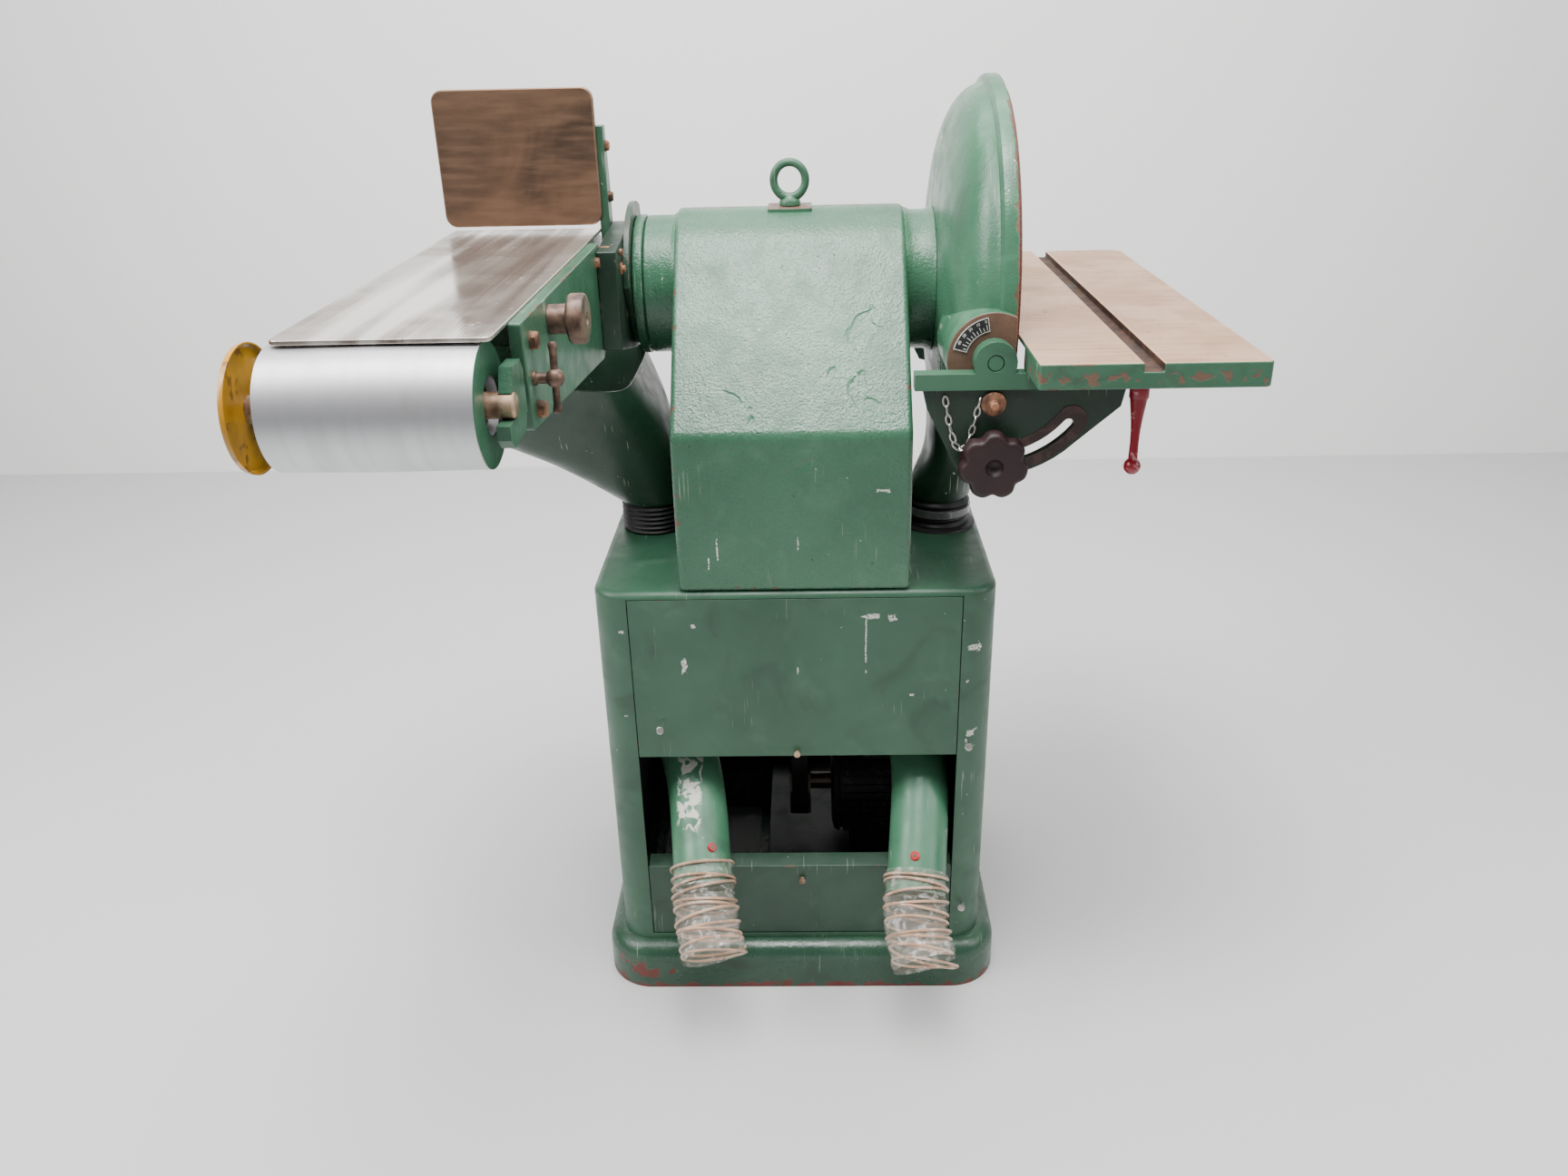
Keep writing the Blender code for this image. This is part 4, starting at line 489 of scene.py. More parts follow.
def column_chips(finish):
    """Pale scratches on the column, below the bend."""
    return chips(finish, ((0.118, 0.800, 0.010, 0.0028), (-0.100, 0.722, 0.0012, 0.016), (-0.112, 0.700, 0.0011, 0.010),
                          (0.006, 0.727, 0.0010, 0.010)))


def scraped_pipe(finish):
    """Scraped patches down the upper side of the left dust pipe."""
    ragged = finish.noise(60.0, 6.0, distortion=0.4)
    left = finish.between(abs(finish.where("X") + 0.158) + (ragged - 0.5) * 0.02, 0.020, 0.016)
    top = finish.between(abs(finish.where("Z") - 0.335) + (ragged - 0.5) * 0.06, 0.040, 0.030)
    return left * top * finish.between(ragged, 0.46, 0.50)


def pivot_face_bare(finish):
    """The machined faces of the housing's pivot bosses and its worn rim."""
    level = finish.where("Z")
    out = abs(finish.where("Y") - SPINDLE.y)
    face = (out > BOSS_FACE - 0.0012) * (level < PIVOT.z + 0.058)
    ragged = finish.noise(48.0, 6.0, distortion=0.7)
    rim = finish.between(finish.where("X") + (ragged - 0.5) * 0.022, RIM_X - 0.0045, RIM_X - 0.0015)
    return finish.maths("MAXIMUM", face, rim)


def head_bare(finish):
    """The brown edge of the machined pad on top of the head."""
    return finish.between(finish.where("Z"), SPINDLE.z + HEAD_RADIUS - 0.0004, SPINDLE.z + HEAD_RADIUS + 0.0002) \
        * finish.between(finish.noise(45.0, 4.0), 0.40, 0.52)


def table_edge_bare(finish):
    """Paint chipped away along the lower half of the table's near edge."""
    ragged = finish.noise(60.0, 6.0, distortion=0.6)
    near = finish.between(finish.where("Z") + (ragged - 0.5) * 0.03, 0.966, 0.972) \
        * finish.between(finish.where("Z") + (ragged - 0.5) * 0.02, 0.984, 0.979)
    return near * finish.between(ragged, 0.52, 0.56)


# Each green's tone is matched to how bright its piece looks under the room's light: the darker tones, as on the
# cabinet, panels, sill, plinth and web, are painted shade, and the bowl's lighter tone is painted light
HEAD_GREEN = machine_green("head_green", 1.0, 1.5, 0.8, 0.35, 0.25, 0.0, bare=head_bare, scraped=column_chips,
                           gloss=0.22, wear=0.2)
BOWL_GREEN = machine_green("bowl_green", 1.15, 0.6, 0.2, 0.6, 0.4, 1.3, bare=pivot_face_bare, gloss=0.24)
CAST_GREEN = machine_green("cast_green", 0.85, 0.7, 0.2, 0.7, 0.8, 2.1, gloss=0.30, wear=0.9)
CABINET_GREEN = machine_green("cabinet_green", 0.70, 0.30, 0.0, 0.45, 0.6, 3.7, wear=0.3, pitted=0.70,
                              scraped=jamb_chips)
PANEL_GREEN = machine_green("panel_green", 0.72, 0.30, 0.0, 0.30, 0.5, 4.4, scraped=door_chips, wear=0.2,
                            pitted=0.68)
SILL_GREEN = machine_green("sill_green", 0.42, 0.40, 0.0, 0.35, 0.9, 4.9, wear=0.6)
PLINTH_GREEN = machine_green("plinth_green", 0.52, 0.7, 0.2, 0.5, 1.0, 5.2, primer=low_front_primer, gloss=0.24)
PIPE_GREEN = machine_green("pipe_green", 1.45, 0.25, 0.0, 0.9, 0.4, 6.6, scraped=scraped_pipe, gloss=0.30)
HOOD_GREEN = machine_green("hood_green", 0.34, 0.5, 0.0, 0.9, 0.7, 7.3, gloss=0.30, wear=0.9)
# Very dark green: grime plus painted shade, for the trunnion web under the table's flange, the arm hub and the motor
# mount
WEB_SHADE_AND_GRIME_GREEN = machine_green("web_green", 0.20, 0.5, 0.2, 0.4, 0.9, 8.8, wear=0.4)
PLATEN_STEEL = ground_steel("platen_steel", (0.46, 0.40, 0.36), (0.19, 0.135, 0.105), (420, 4, 40), (0.14, 0.34), 0.0,
                            0.8)
BACKSTOP_STEEL = ground_steel("backstop_steel", (0.200, 0.118, 0.075), (0.060, 0.036, 0.024), (14, 30, 90),
                              (0.28, 0.50), 2.0, 0.0, 0.6)
TABLE_IRON = ground_steel("table_iron", (0.45, 0.268, 0.158), (0.32, 0.182, 0.103), (5, 120, 5), (0.32, 0.48), 4.0,
                          0.0, 0.30)
DARK_STEEL = ground_steel("dark_steel", (0.16, 0.13, 0.11), (0.07, 0.05, 0.04), (60, 60, 60), (0.35, 0.6), 6.0)
ROLLER_ALUMINIUM = turned_metal("roller_aluminium", (0.60, 0.60, 0.62), "X", (0, 0, 0), 0.34)
RUSTY = rusty_iron("rusty_iron")
BROWN_KNOB = rusty_iron("brown_knob", (0.20, 0.12, 0.085), (0.06, 0.036, 0.027), 0.5, 0.34)
AXLE_RUST = rusty_iron("axle_rust", (0.50, 0.36, 0.24), (0.18, 0.10, 0.06), 0.5, 0.4)
# Dark brown for the mitre slot's faces: rust, and painted shade of the recess
SLOT_RUST_AND_SHADE = rusty_iron("slot_brown", (0.085, 0.042, 0.026), (0.034, 0.018, 0.012), 0.4, 0.6)
BRIGHT_STEEL = ground_steel("bright_steel", (0.56, 0.55, 0.52), (0.30, 0.27, 0.24), (90, 90, 90), (0.2, 0.38), 8.0)
YELLOW = moulded("yellow_paint", (0.58, 0.27, 0.006), 0.30, (0.16, 0.060, 0.010), 0.4)
MAROON = moulded("maroon_plastic", (0.016, 0.0016, 0.0034), 0.46, None, 0.0)
LEVER_RED = red_lever_paint("lever_red")
RUBBER = moulded("black_rubber", (0.012, 0.012, 0.012), 0.42)
TAPE = moulded("shiny_tape", (0.10, 0.10, 0.10), 0.18, (0.20, 0.20, 0.20), 0.5)
FILM = clear_film("clear_film")
COPPER_WIRE = moulded("coated_wire", (0.50, 0.31, 0.21), 0.25, (0.66, 0.50, 0.40), 0.5)
ABRASIVE = abrasive_grit("abrasive_grit")
# Near-black painted shade for the faces inside the cabinet
INSIDE_SHADE_BLACK = moulded("sooty_inside", (0.006, 0.007, 0.006), 0.6)
MOTOR_GREY = moulded("motor_grey", (0.014, 0.016, 0.015), 0.5, (0.05, 0.05, 0.045))
SCALE_BLACK = moulded("scale_black", (0.012, 0.012, 0.012), 0.4)
SCALE_PALE = moulded("scale_pale", (0.62, 0.63, 0.60), 0.4)
BUTTON_RED = moulded("button_red", (0.45, 0.012, 0.012), 0.3, None, 0.3)
BUTTON_GREEN = moulded("button_green", (0.015, 0.26, 0.06), 0.3, None, 0.3)
RIVET_RED = moulded("rivet_red", (0.42, 0.012, 0.010), 0.35, None, 0.3)


# ---------------------------------------------------------------- outlines
def arc(centre, radius, start, end, steps):
    turns = [start + (end - start) * k / steps for k in range(steps + 1)]
    return [(centre[0] + radius * math.cos(a), centre[1] + radius * math.sin(a)) for a in turns]


def circle(centre, radius, steps=64):
    return arc(centre, radius, 0, math.tau, steps)[:-1]


def rounded(points, radius, steps=10):
    """An outline whose corners become arcs of the given radius, or of one radius for each corner."""
    radii = radius if isinstance(radius, (list, tuple)) else [radius] * len(points)
    outline = []
    for k, corner in enumerate(points):
        here = Vector(corner)
        before = (Vector(points[k - 1]) - here).normalized()
        after = (Vector(points[(k + 1) % len(points)]) - here).normalized()
        half = before.angle(after) / 2
        if radii[k] <= 0:
            outline.append((here.x, here.y))
            continue
        middle = here + (before + after).normalized() * radii[k] / math.sin(half)
        first = here + before * radii[k] / math.tan(half) - middle
        last = here + after * radii[k] / math.tan(half) - middle
        sweep = first.angle_signed(last)
        for step in range(steps + 1):
            moved = Matrix.Rotation(-sweep * step / steps, 2) @ first
            outline.append((middle.x + moved.x, middle.y + moved.y))
    return outline


def rectangle(width, depth, radius, centre=(0.0, 0.0), steps=10):
    x, y = width / 2, depth / 2
    corners = [(-x, -y), (x, -y), (x, y), (-x, y)]
    return rounded([(centre[0] + a, centre[1] + b) for a, b in corners], radius, steps)


# ---------------------------------------------------------------- making pieces
def mesh_of(bm, name="shape"):
    mesh = bpy.data.meshes.new(name)
    bm.to_mesh(mesh)
    bm.free()
    return mesh


def temporary(mesh):
    item = bpy.data.objects.new("temporary", mesh)
    bpy.context.scene.collection.objects.link(item)
    return item


def settled(item):
    """The mesh of an object with its modifiers worked in, moved to its world place."""
    bpy.context.view_layer.update()
    evaluated = item.evaluated_get(bpy.context.evaluated_depsgraph_get())
    mesh = bpy.data.meshes.new_from_object(evaluated)
    mesh.transform(item.matrix_world)
    bpy.data.objects.remove(item)
    return mesh


def merged(mesh, distance=1e-6):
    bm = bmesh.new()
    bm.from_mesh(mesh)
    bmesh.ops.remove_doubles(bm, verts=bm.verts, dist=distance)
    bmesh.ops.recalc_face_normals(bm, faces=bm.faces)
    bm.to_mesh(mesh)
    bm.free()
    return mesh


def slab(outlines, plane, low, high):
    """Outlines, the first one solid and the others holes in it, given a thickness from low to high."""
    curve = bpy.data.curves.new("outline", "CURVE")
    curve.dimensions = "2D"
    curve.fill_mode = "BOTH"
    curve.extrude = abs(high - low) / 2
    for outline in outlines:
        spline = curve.splines.new("POLY")
        spline.points.add(len(outline) - 1)
        for point, (x, y) in zip(spline.points, outline):
            point.co = (x, y, 0, 1)
        spline.use_cyclic_u = True
    holder = temporary(curve)
    depth = plane @ Vector((0, 0, 1))
    shift = Vector([abs(value) * (low + high) / 2 for value in depth])
    holder.matrix_world = Matrix.Translation(shift) @ plane
    return merged(settled(holder))


def turned(profile, centre, axis=(1, 0, 0), steps=96):
    """A profile of (distance along the axis, radius) points, turned about an axis through centre."""
    bm = bmesh.new()
    rings = []
    for along, radius in profile:
        if radius < 1e-7:
            rings.append([bm.verts.new((0, 0, along))])
        else:
            rings.append([bm.verts.new((x, y, along)) for x, y in circle((0, 0), radius, steps)])
    loops = list(zip(rings, rings[1:]))
    if len(rings[0]) > 1 or len(rings[-1]) > 1:
        loops.append((rings[-1], rings[0]))
    for lower, upper in loops:
        for k in range(steps):
            after = (k + 1) % steps
            if len(lower) == 1 and len(upper) == 1:
                break
            if len(lower) == 1:
                bm.faces.new((lower[0], upper[k], upper[after]))
            elif len(upper) == 1:
                bm.faces.new((lower[k], lower[after], upper[0]))
            else:
                bm.faces.new((lower[k], lower[after], upper[after], upper[k]))
    turn = Vector(axis).to_track_quat("Z", "Y").to_matrix().to_4x4()
    bmesh.ops.transform(bm, matrix=Matrix.Translation(centre) @ turn, verts=bm.verts)
    bmesh.ops.recalc_face_normals(bm, faces=bm.faces)
    return mesh_of(bm)


def rod(start, end, radius, end_radius=None, sides=48):
    length = (Vector(end) - Vector(start)).length
    far = radius if end_radius is None else end_radius
    return turned([(0, 0), (0, radius), (length, far), (length, 0)], start, Vector(end) - Vector(start), sides)


def block(low, high):
    bm = bmesh.new()
    bmesh.ops.create_cube(bm, size=1.0)
    size = [h - l for l, h in zip(low, high)]
    centre = [(h + l) / 2 for l, h in zip(low, high)]
    bmesh.ops.transform(bm, matrix=Matrix.Translation(centre) @ Matrix.Diagonal((*size, 1)), verts=bm.verts)
    return mesh_of(bm)


def sphere(centre, radius, sides=32):
    bm = bmesh.new()
    bmesh.ops.create_uvsphere(bm, u_segments=sides, v_segments=sides // 2, radius=radius)
    bmesh.ops.transform(bm, matrix=Matrix.Translation(centre), verts=bm.verts)
    return mesh_of(bm)


def worked(mesh, operation, others, solver="EXACT"):
    """A mesh cut by or joined with others."""
    item = temporary(mesh)
    helpers = [temporary(other) for other in others]
    for helper in helpers:
        change = item.modifiers.new("work", "BOOLEAN")
        change.operation = operation
        change.solver = solver
        change.object = helper
    made = settled(item)
    for helper in helpers:
        bpy.data.objects.remove(helper)
    return made


def cut(mesh, *others, solver="EXACT"):
    return worked(mesh, "DIFFERENCE", others, solver)


def joined(mesh, *others, solver="EXACT"):
    return worked(mesh, "UNION", others, solver)


def gathered(*meshes):
    """Several meshes as one, left as separate shells."""
    bm = bmesh.new()
    for mesh in meshes:
        bm.from_mesh(mesh)
    return mesh_of(bm)


def eased(mesh, width, segments=3, angle=30):
    """Sharp edges rounded by width; the new faces carry the attribute "edge"."""
    bm = bmesh.new()
    bm.from_mesh(mesh)
    bmesh.ops.remove_doubles(bm, verts=bm.verts, dist=1e-5)
    bmesh.ops.dissolve_limit(bm, angle_limit=math.radians(0.5), verts=bm.verts, edges=bm.edges)
    bmesh.ops.recalc_face_normals(bm, faces=bm.faces)
    sharp = [edge for edge in bm.edges if edge.is_manifold and edge.calc_face_angle(0) > math.radians(angle)]
    before = set(bm.faces)
    made = bmesh.ops.bevel(bm, geom=sharp, offset=width, offset_type="OFFSET", segments=segments, profile=0.5,
                           affect="EDGES", clamp_overlap=True)
    layer = bm.loops.layers.float.new("edge")
    for face in made["faces"]:
        if face.is_valid and face not in before:
            for loop in face.loops:
                loop[layer] = 1.0
    return mesh_of(bm)


def node_mesh(node):
    return merged(frame["nodes"][node].data.copy(), 1e-5)


def piece(name, mesh, finish, replaces=(), body=None, smooth=35):
    """A finished piece that rides on a body and stands for CAD nodes."""
    nodes = [replaces] if isinstance(replaces, str) else list(replaces)
    mesh.name = name
    mesh.materials.clear()
    mesh.materials.append(finish)
    for polygon in mesh.polygons:
        polygon.material_index = 0
    mesh.shade_smooth()
    mesh.set_sharp_from_angle(angle=math.radians(smooth))
    item = bpy.data.objects.new(name, mesh)
    bpy.context.scene.collection.objects.link(item)
    weighted = item.modifiers.new("flat_faces", "WEIGHTED_NORMAL")
    weighted.keep_sharp = True
    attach(item, body or BODY_OF[nodes[0]])
    if nodes:
        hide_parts(*nodes)
    return item


def loft(loops, wall=0.0, closed_ends=False):
    """A skin through loops of points with equal counts, given a wall inwards or closed at its ends."""
    bm = bmesh.new()
    rings = [[bm.verts.new(point) for point in loop] for loop in loops]
    for lower, upper in zip(rings, rings[1:]):
        for k in range(len(lower)):
            after = (k + 1) % len(lower)
            bm.faces.new((lower[k], lower[after], upper[after], upper[k]))
    if closed_ends:
        bm.faces.new(rings[0][::-1])
        bm.faces.new(rings[-1])
        bmesh.ops.recalc_face_normals(bm, faces=bm.faces)
        return mesh_of(bm)
    bmesh.ops.recalc_face_normals(bm, faces=bm.faces)
    bm.faces.ensure_lookup_table()
    first = bm.faces[0]
    middle = sum((vert.co for vert in rings[0]), Vector()) / len(rings[0])
    if first.normal.dot(first.calc_center_median() - middle) < 0:
        bmesh.ops.reverse_faces(bm, faces=bm.faces)
    item = temporary(mesh_of(bm))
    shell = item.modifiers.new("wall", "SOLIDIFY")
    shell.thickness = wall
    shell.offset = -1
    return settled(item)


def smooth_route(points, steps):
    """A Catmull-Rom curve through points."""
    path = []
    padded = [points[0]] + list(points) + [points[-1]]
    for a, b, c, d in zip(padded, padded[1:], padded[2:], padded[3:]):
        a, b, c, d = (Vector(p) for p in (a, b, c, d))
        for step in range(steps):
            t = step / steps
            path.append(0.5 * (2 * b + (c - a) * t + (2 * a - 5 * b + 4 * c - d) * t ** 2
                               + (3 * b - a - 3 * c + d) * t ** 3))
    return path + [Vector(points[-1])]


def rings_along(route, radius, sides=48, side=Vector((1, 0, 0))):
    """Rings of points square to a route; radius is a number or one for each point."""
    points = [Vector(p) for p in route]
    radii = radius if isinstance(radius, (list, tuple)) else [radius] * len(points)
    loops = []
    for k, point in enumerate(points):
        along = (points[min(k + 1, len(points) - 1)] - points[max(k - 1, 0)]).normalized()
        across = (side - along * side.dot(along)).normalized()
        up = along.cross(across)
        loops.append([point + radii[k] * (across * math.cos(a) + up * math.sin(a))
                      for a in (math.tau * j / sides for j in range(sides))])
    return loops


# ---------------------------------------------------------------- repeated things
class Recipe(Board):
    """A Geometry Nodes tree with named inputs, used once on one mesh and then worked in."""

    def __init__(self, name):
        super().__init__(bpy.data.node_groups.new(name, "GeometryNodeTree"))
        self.tree.interface.new_socket("Geometry", in_out="INPUT", socket_type="NodeSocketGeometry")
        self.tree.interface.new_socket("Geometry", in_out="OUTPUT", socket_type="NodeSocketGeometry")
        self.settings = {}
        self.entry = self.tree.nodes.new("NodeGroupInput")
        self.exit = self.tree.nodes.new("NodeGroupOutput")

    def size(self, name, value, kind="NodeSocketFloat"):
        """A named input of the tree."""
        socket = self.tree.interface.new_socket(name, in_out="INPUT", socket_type=kind)
        self.settings[socket.identifier] = value
        return Value(self, self.entry.outputs[name])

    def mesh_in(self):
        return Value(self, self.entry.outputs[0])

    def join(self, *shapes):
        node = self.tree.nodes.new("GeometryNodeJoinGeometry")
        for shape in shapes:
            self.tree.links.new(shape.socket, node.inputs[0])
        return Value(self, node.outputs[0])

    def cook(self, mesh, finish):
        """The mesh that the tree makes from mesh, all of one finish."""
        last = self.exit.inputs[0].links[0].from_socket
        real = self.node("GeometryNodeRealizeInstances", {}, {"Geometry": Value(self, last)})
        painted = self.node("GeometryNodeSetMaterial", {}, {"Geometry": real, "Material": finish})
        self.tree.links.new(painted.socket, self.exit.inputs[0])
        item = temporary(mesh)
        change = item.modifiers.new("recipe", "NODES")
        change.node_group = self.tree
        for identifier, value in self.settings.items():
            change[identifier] = value
        return settled(item)

    def serve(self, shape):
        self.tree.links.new(shape.socket, self.exit.inputs[0])


def marked_points(places):
    """A mesh of loose points, each with the way it faces."""
    mesh = bpy.data.meshes.new("points")
    mesh.from_pydata([place for place, _ in places], [], [])
    facing = mesh.attributes.new("facing", "FLOAT_VECTOR", "POINT")
    for value, (_, way) in zip(facing.data, places):
        value.vector = Vector(way).normalized()
    return mesh


def fasteners(places, finish, radius, height, sides=6, washer=0.0, dome=0.0):
    """Bolt, screw or rivet heads at (place, way it faces) pairs: a head with chamfered edges on a washer."""
    recipe = Recipe("fasteners")
    across = recipe.size("Head Radius", radius)
    tall = recipe.size("Head Height", height)
    edge = recipe.size("Chamfer", min(radius, height) * 0.22)
    flange = recipe.size("Washer Radius", washer or radius * 0.5)
    body = recipe.node("GeometryNodeMeshCone", {}, {"Vertices": sides, "Radius Top": across, "Radius Bottom": across,
                                                    "Depth": tall - edge})
    cap = recipe.node("GeometryNodeMeshCone", {}, {"Vertices": max(sides, 16), "Radius Top": across * (0.80 - dome),
                                                   "Radius Bottom": across * 0.99, "Depth": edge})
    lifted = recipe.node("GeometryNodeTransform", {}, {
        "Geometry": cap, "Translation": recipe.node("ShaderNodeCombineXYZ", {}, {"Z": tall - edge})})
    disc = recipe.node("GeometryNodeMeshCone", {}, {"Vertices": 24, "Radius Top": flange, "Radius Bottom": flange,
                                                    "Depth": tall * 0.22})
    pattern = recipe.join(body, lifted, disc)
    facing = recipe.node("GeometryNodeInputNamedAttribute", {"data_type": "FLOAT_VECTOR"}, {"Name": "facing"})
    turn = recipe.node("FunctionNodeAlignRotationToVector", {"axis": "Z"}, {"Vector": facing})
    copies = recipe.node("GeometryNodeInstanceOnPoints", {}, {"Points": recipe.mesh_in(), "Instance": pattern,
                                                              "Rotation": turn})
    recipe.serve(copies)
    return recipe.cook(marked_points(places), finish)


def chain_links(route, length, width, wire, finish):
    """Oval links along a route, each a quarter turn from the last."""
    recipe = Recipe("chain_links")
    long, wide = recipe.size("Link Length", length), recipe.size("Link Width", width)
    thick = recipe.size("Wire Radius", wire)
    line = recipe.node("GeometryNodeMeshToCurve", {}, {"Mesh": recipe.mesh_in()})
    spaced = recipe.node("GeometryNodeResampleCurve", {"mode": "LENGTH"}, {"Curve": line,
                                                                          "Length": long - thick * 3.2})
    oval = recipe.node("GeometryNodeCurvePrimitiveCircle", {}, {"Resolution": 20, "Radius": 1.0})
    squeezed = recipe.node("GeometryNodeTransform", {}, {
        "Geometry": oval,
        "Scale": recipe.node("ShaderNodeCombineXYZ", {}, {"X": wide / 2 - thick, "Y": long / 2 - thick, "Z": 1.0})})
    section = recipe.node("GeometryNodeCurvePrimitiveCircle", {}, {"Resolution": 8, "Radius": thick})
    link = recipe.node("GeometryNodeCurveToMesh", {}, {"Curve": squeezed, "Profile Curve": section})
    way = recipe.node("GeometryNodeInputTangent")
    laid = recipe.node("FunctionNodeAlignRotationToVector", {"axis": "Y"}, {"Vector": way})
    index = recipe.node("GeometryNodeInputIndex")
    quarter = recipe.maths("MODULO", index, 2.0) * (math.pi / 2)
    twist = recipe.node("ShaderNodeCombineXYZ", {}, {"Y": quarter})
    turn = recipe.node("FunctionNodeRotateRotation", {"rotation_space": "LOCAL"}, {
        "Rotation": laid, "Rotate By": recipe.node("FunctionNodeEulerToRotation", {}, {"Euler": twist})})
    recipe.serve(recipe.node("GeometryNodeInstanceOnPoints", {}, {"Points": spaced, "Instance": link,
                                                                  "Rotation": turn}))
    mesh = bpy.data.meshes.new("route")
    mesh.from_pydata(route, [(k, k + 1) for k in range(len(route) - 1)], [])
    return recipe.cook(mesh, finish)


# ---------------------------------------------------------------- stand
def make_plinth():
    wide, deep, tall = PLINTH_SIZE
    loops = [[(x, y, 0.0) for x, y in rectangle(wide, deep, PLINTH_CORNER, steps=14)]]
    loops.append([(x, y, 0.002) for x, y in rectangle(wide, deep, PLINTH_CORNER, steps=14)])
    for k in range(9):
        a = math.pi / 2 * k / 8
        inset = PLINTH_ROUND * (1 - math.cos(a))
        z = tall - PLINTH_ROUND + PLINTH_ROUND * math.sin(a)
        outline = rectangle(wide - 2 * inset, deep - 2 * inset, PLINTH_CORNER - inset, steps=14)
        loops.append([(x, y, z) for x, y in outline])
    base = loft(loops, closed_ends=True)
    inner_wide, inner_deep = PLINTH_WELL
    well = slab([rectangle(inner_wide, inner_deep, CABINET_CORNER - 0.004)], ALONG_Z, PLINTH_WEB, tall + 0.01)
    side = (inner_wide - PLINTH_WEB_WIDTH) / 2
    gaps = [slab([rectangle(side, inner_deep, 0.012, (sign * (PLINTH_WEB_WIDTH + side) / 2, 0))], ALONG_Z, -0.01,
                 2 * PLINTH_WEB) for sign in (-1, 1)]
    piece("base_casting", cut(base, well, *gaps), PLINTH_GREEN, "base_plinth")


def make_cabinet():
    wide, deep = CABINET_SIZE
    loops = []
    top_round = 0.010
    for z, inset in [(CABINET_FOOT, 0)] + [(CABINET_TOP - top_round + top_round * math.sin(math.pi / 2 * k / 6),
                                            top_round * (1 - math.cos(math.pi / 2 * k / 6))) for k in range(7)]:
        loops.append([(x, y, z) for x, y in rectangle(wide - 2 * inset, deep - 2 * inset, CABINET_CORNER - inset,
                                                      steps=14)])
    shell = loft(loops, closed_ends=True)
    inside = rectangle(wide - 2 * CABINET_SHEET, deep - 2 * CABINET_SHEET, CABINET_CORNER - CABINET_SHEET, steps=14)
    front_wide, front_low, front_high = FRONT_OPENING
    rear_wide, rear_low, rear_high = REAR_OPENING
    cutters = [slab([inside], ALONG_Z, CABINET_FOOT - 0.01, CABINET_TOP - CABINET_LID),
               block((-front_wide / 2, CABINET_FRONT - 0.02, front_low),
                     (front_wide / 2, CABINET_FRONT + 2 * CABINET_SHEET, front_high)),
               block((-rear_wide / 2, -CABINET_FRONT - 2 * CABINET_SHEET, rear_low),
                     (rear_wide / 2, -CABINET_FRONT + 0.02, rear_high)),
               block((-0.034, SPINDLE.y - 0.072, CABINET_TOP - 0.03), (0.034, SPINDLE.y + 0.072, CABINET_TOP + 0.03))]
    for sign in (-1, 1):
        place = (sign * HOSE_X, HOSE_Y)
        cutters.append(rod((*place, CABINET_TOP - 0.03), (*place, CABINET_TOP + 0.03), 0.040))
    casing = piece("cabinet_casing", cut(shell, *cutters), CABINET_GREEN, "cabinet_shell")
    casing.data.materials.append(INSIDE_SHADE_BLACK)
    # Faces inside the cabinet walls, below the lid, take the near-black painted shade
    corner = CABINET_CORNER - CABINET_SHEET
    for polygon in casing.data.polygons:
        x = max(abs(polygon.center.x) - wide / 2 + CABINET_CORNER, 0)
        y = max(abs(polygon.center.y) - deep / 2 + CABINET_CORNER, 0)
        within = math.hypot(x, y) < corner + 0.0004 and polygon.center.z < CABINET_TOP - CABINET_LID + 0.0004
        polygon.material_index = 1 if within else 0
    piece("door_sheet", eased(node_mesh("door_panel"), 0.0012, 2), PANEL_GREEN, "door_panel")
    piece("sill_sheet", eased(node_mesh("lower_panel"), 0.0015, 3), SILL_GREEN, "lower_panel")
    piece("louvre_sheet", eased(node_mesh("rear_louvre_panel"), 0.0008, 1), PANEL_GREEN, "rear_louvre_panel")
    front = CABINET_FRONT
    screws = [((0.0, front - 0.006, 0.409), (0, -1, 0.1)), ((0.004, front - 0.005, 0.186), (0, -1, 0.1))]
    studs = [rod(place, (place[0], front + 0.004, place[2]), 0.0032, sides=16) for place, _ in screws]
    piece("panel_screws", gathered(fasteners(screws, AXLE_RUST, 0.0045, 0.0030, 20, 0.002, 0.25), *studs), AXLE_RUST,
          (), "stand")
    loose = [((-0.190, front - 0.014, 0.455), (-0.10, -1, 0.45)), ((0.240, front - 0.014, 0.424), (-0.25, -1, 0.30)),
             ((0.241, front - 0.014, 0.142), (-0.25, -1, 0.35))]
    heads = fasteners(loose, BRIGHT_STEEL, 0.0052, 0.0034, 20, 0.0025, 0.1)
    shanks = [rod(Vector(place) + Vector(way).normalized() * 0.002, Vector(place) - Vector(way).normalized() * 0.022,
                  0.0019, sides=12) for place, way in loose]
    piece("loose_screws", gathered(heads, *shanks), BRIGHT_STEEL, (), "stand")


PIPE_STEPS = ((0, HOSE_Y, 0), (0, HOSE_Y, 0.035), (0, HOSE_Y, 0.080), (0.010, HOSE_Y - 0.045, 0.178),
              (0.034, -0.105, 0.268))
PIPE_TOP = CABINET_TOP - CABINET_LID - 0.0003


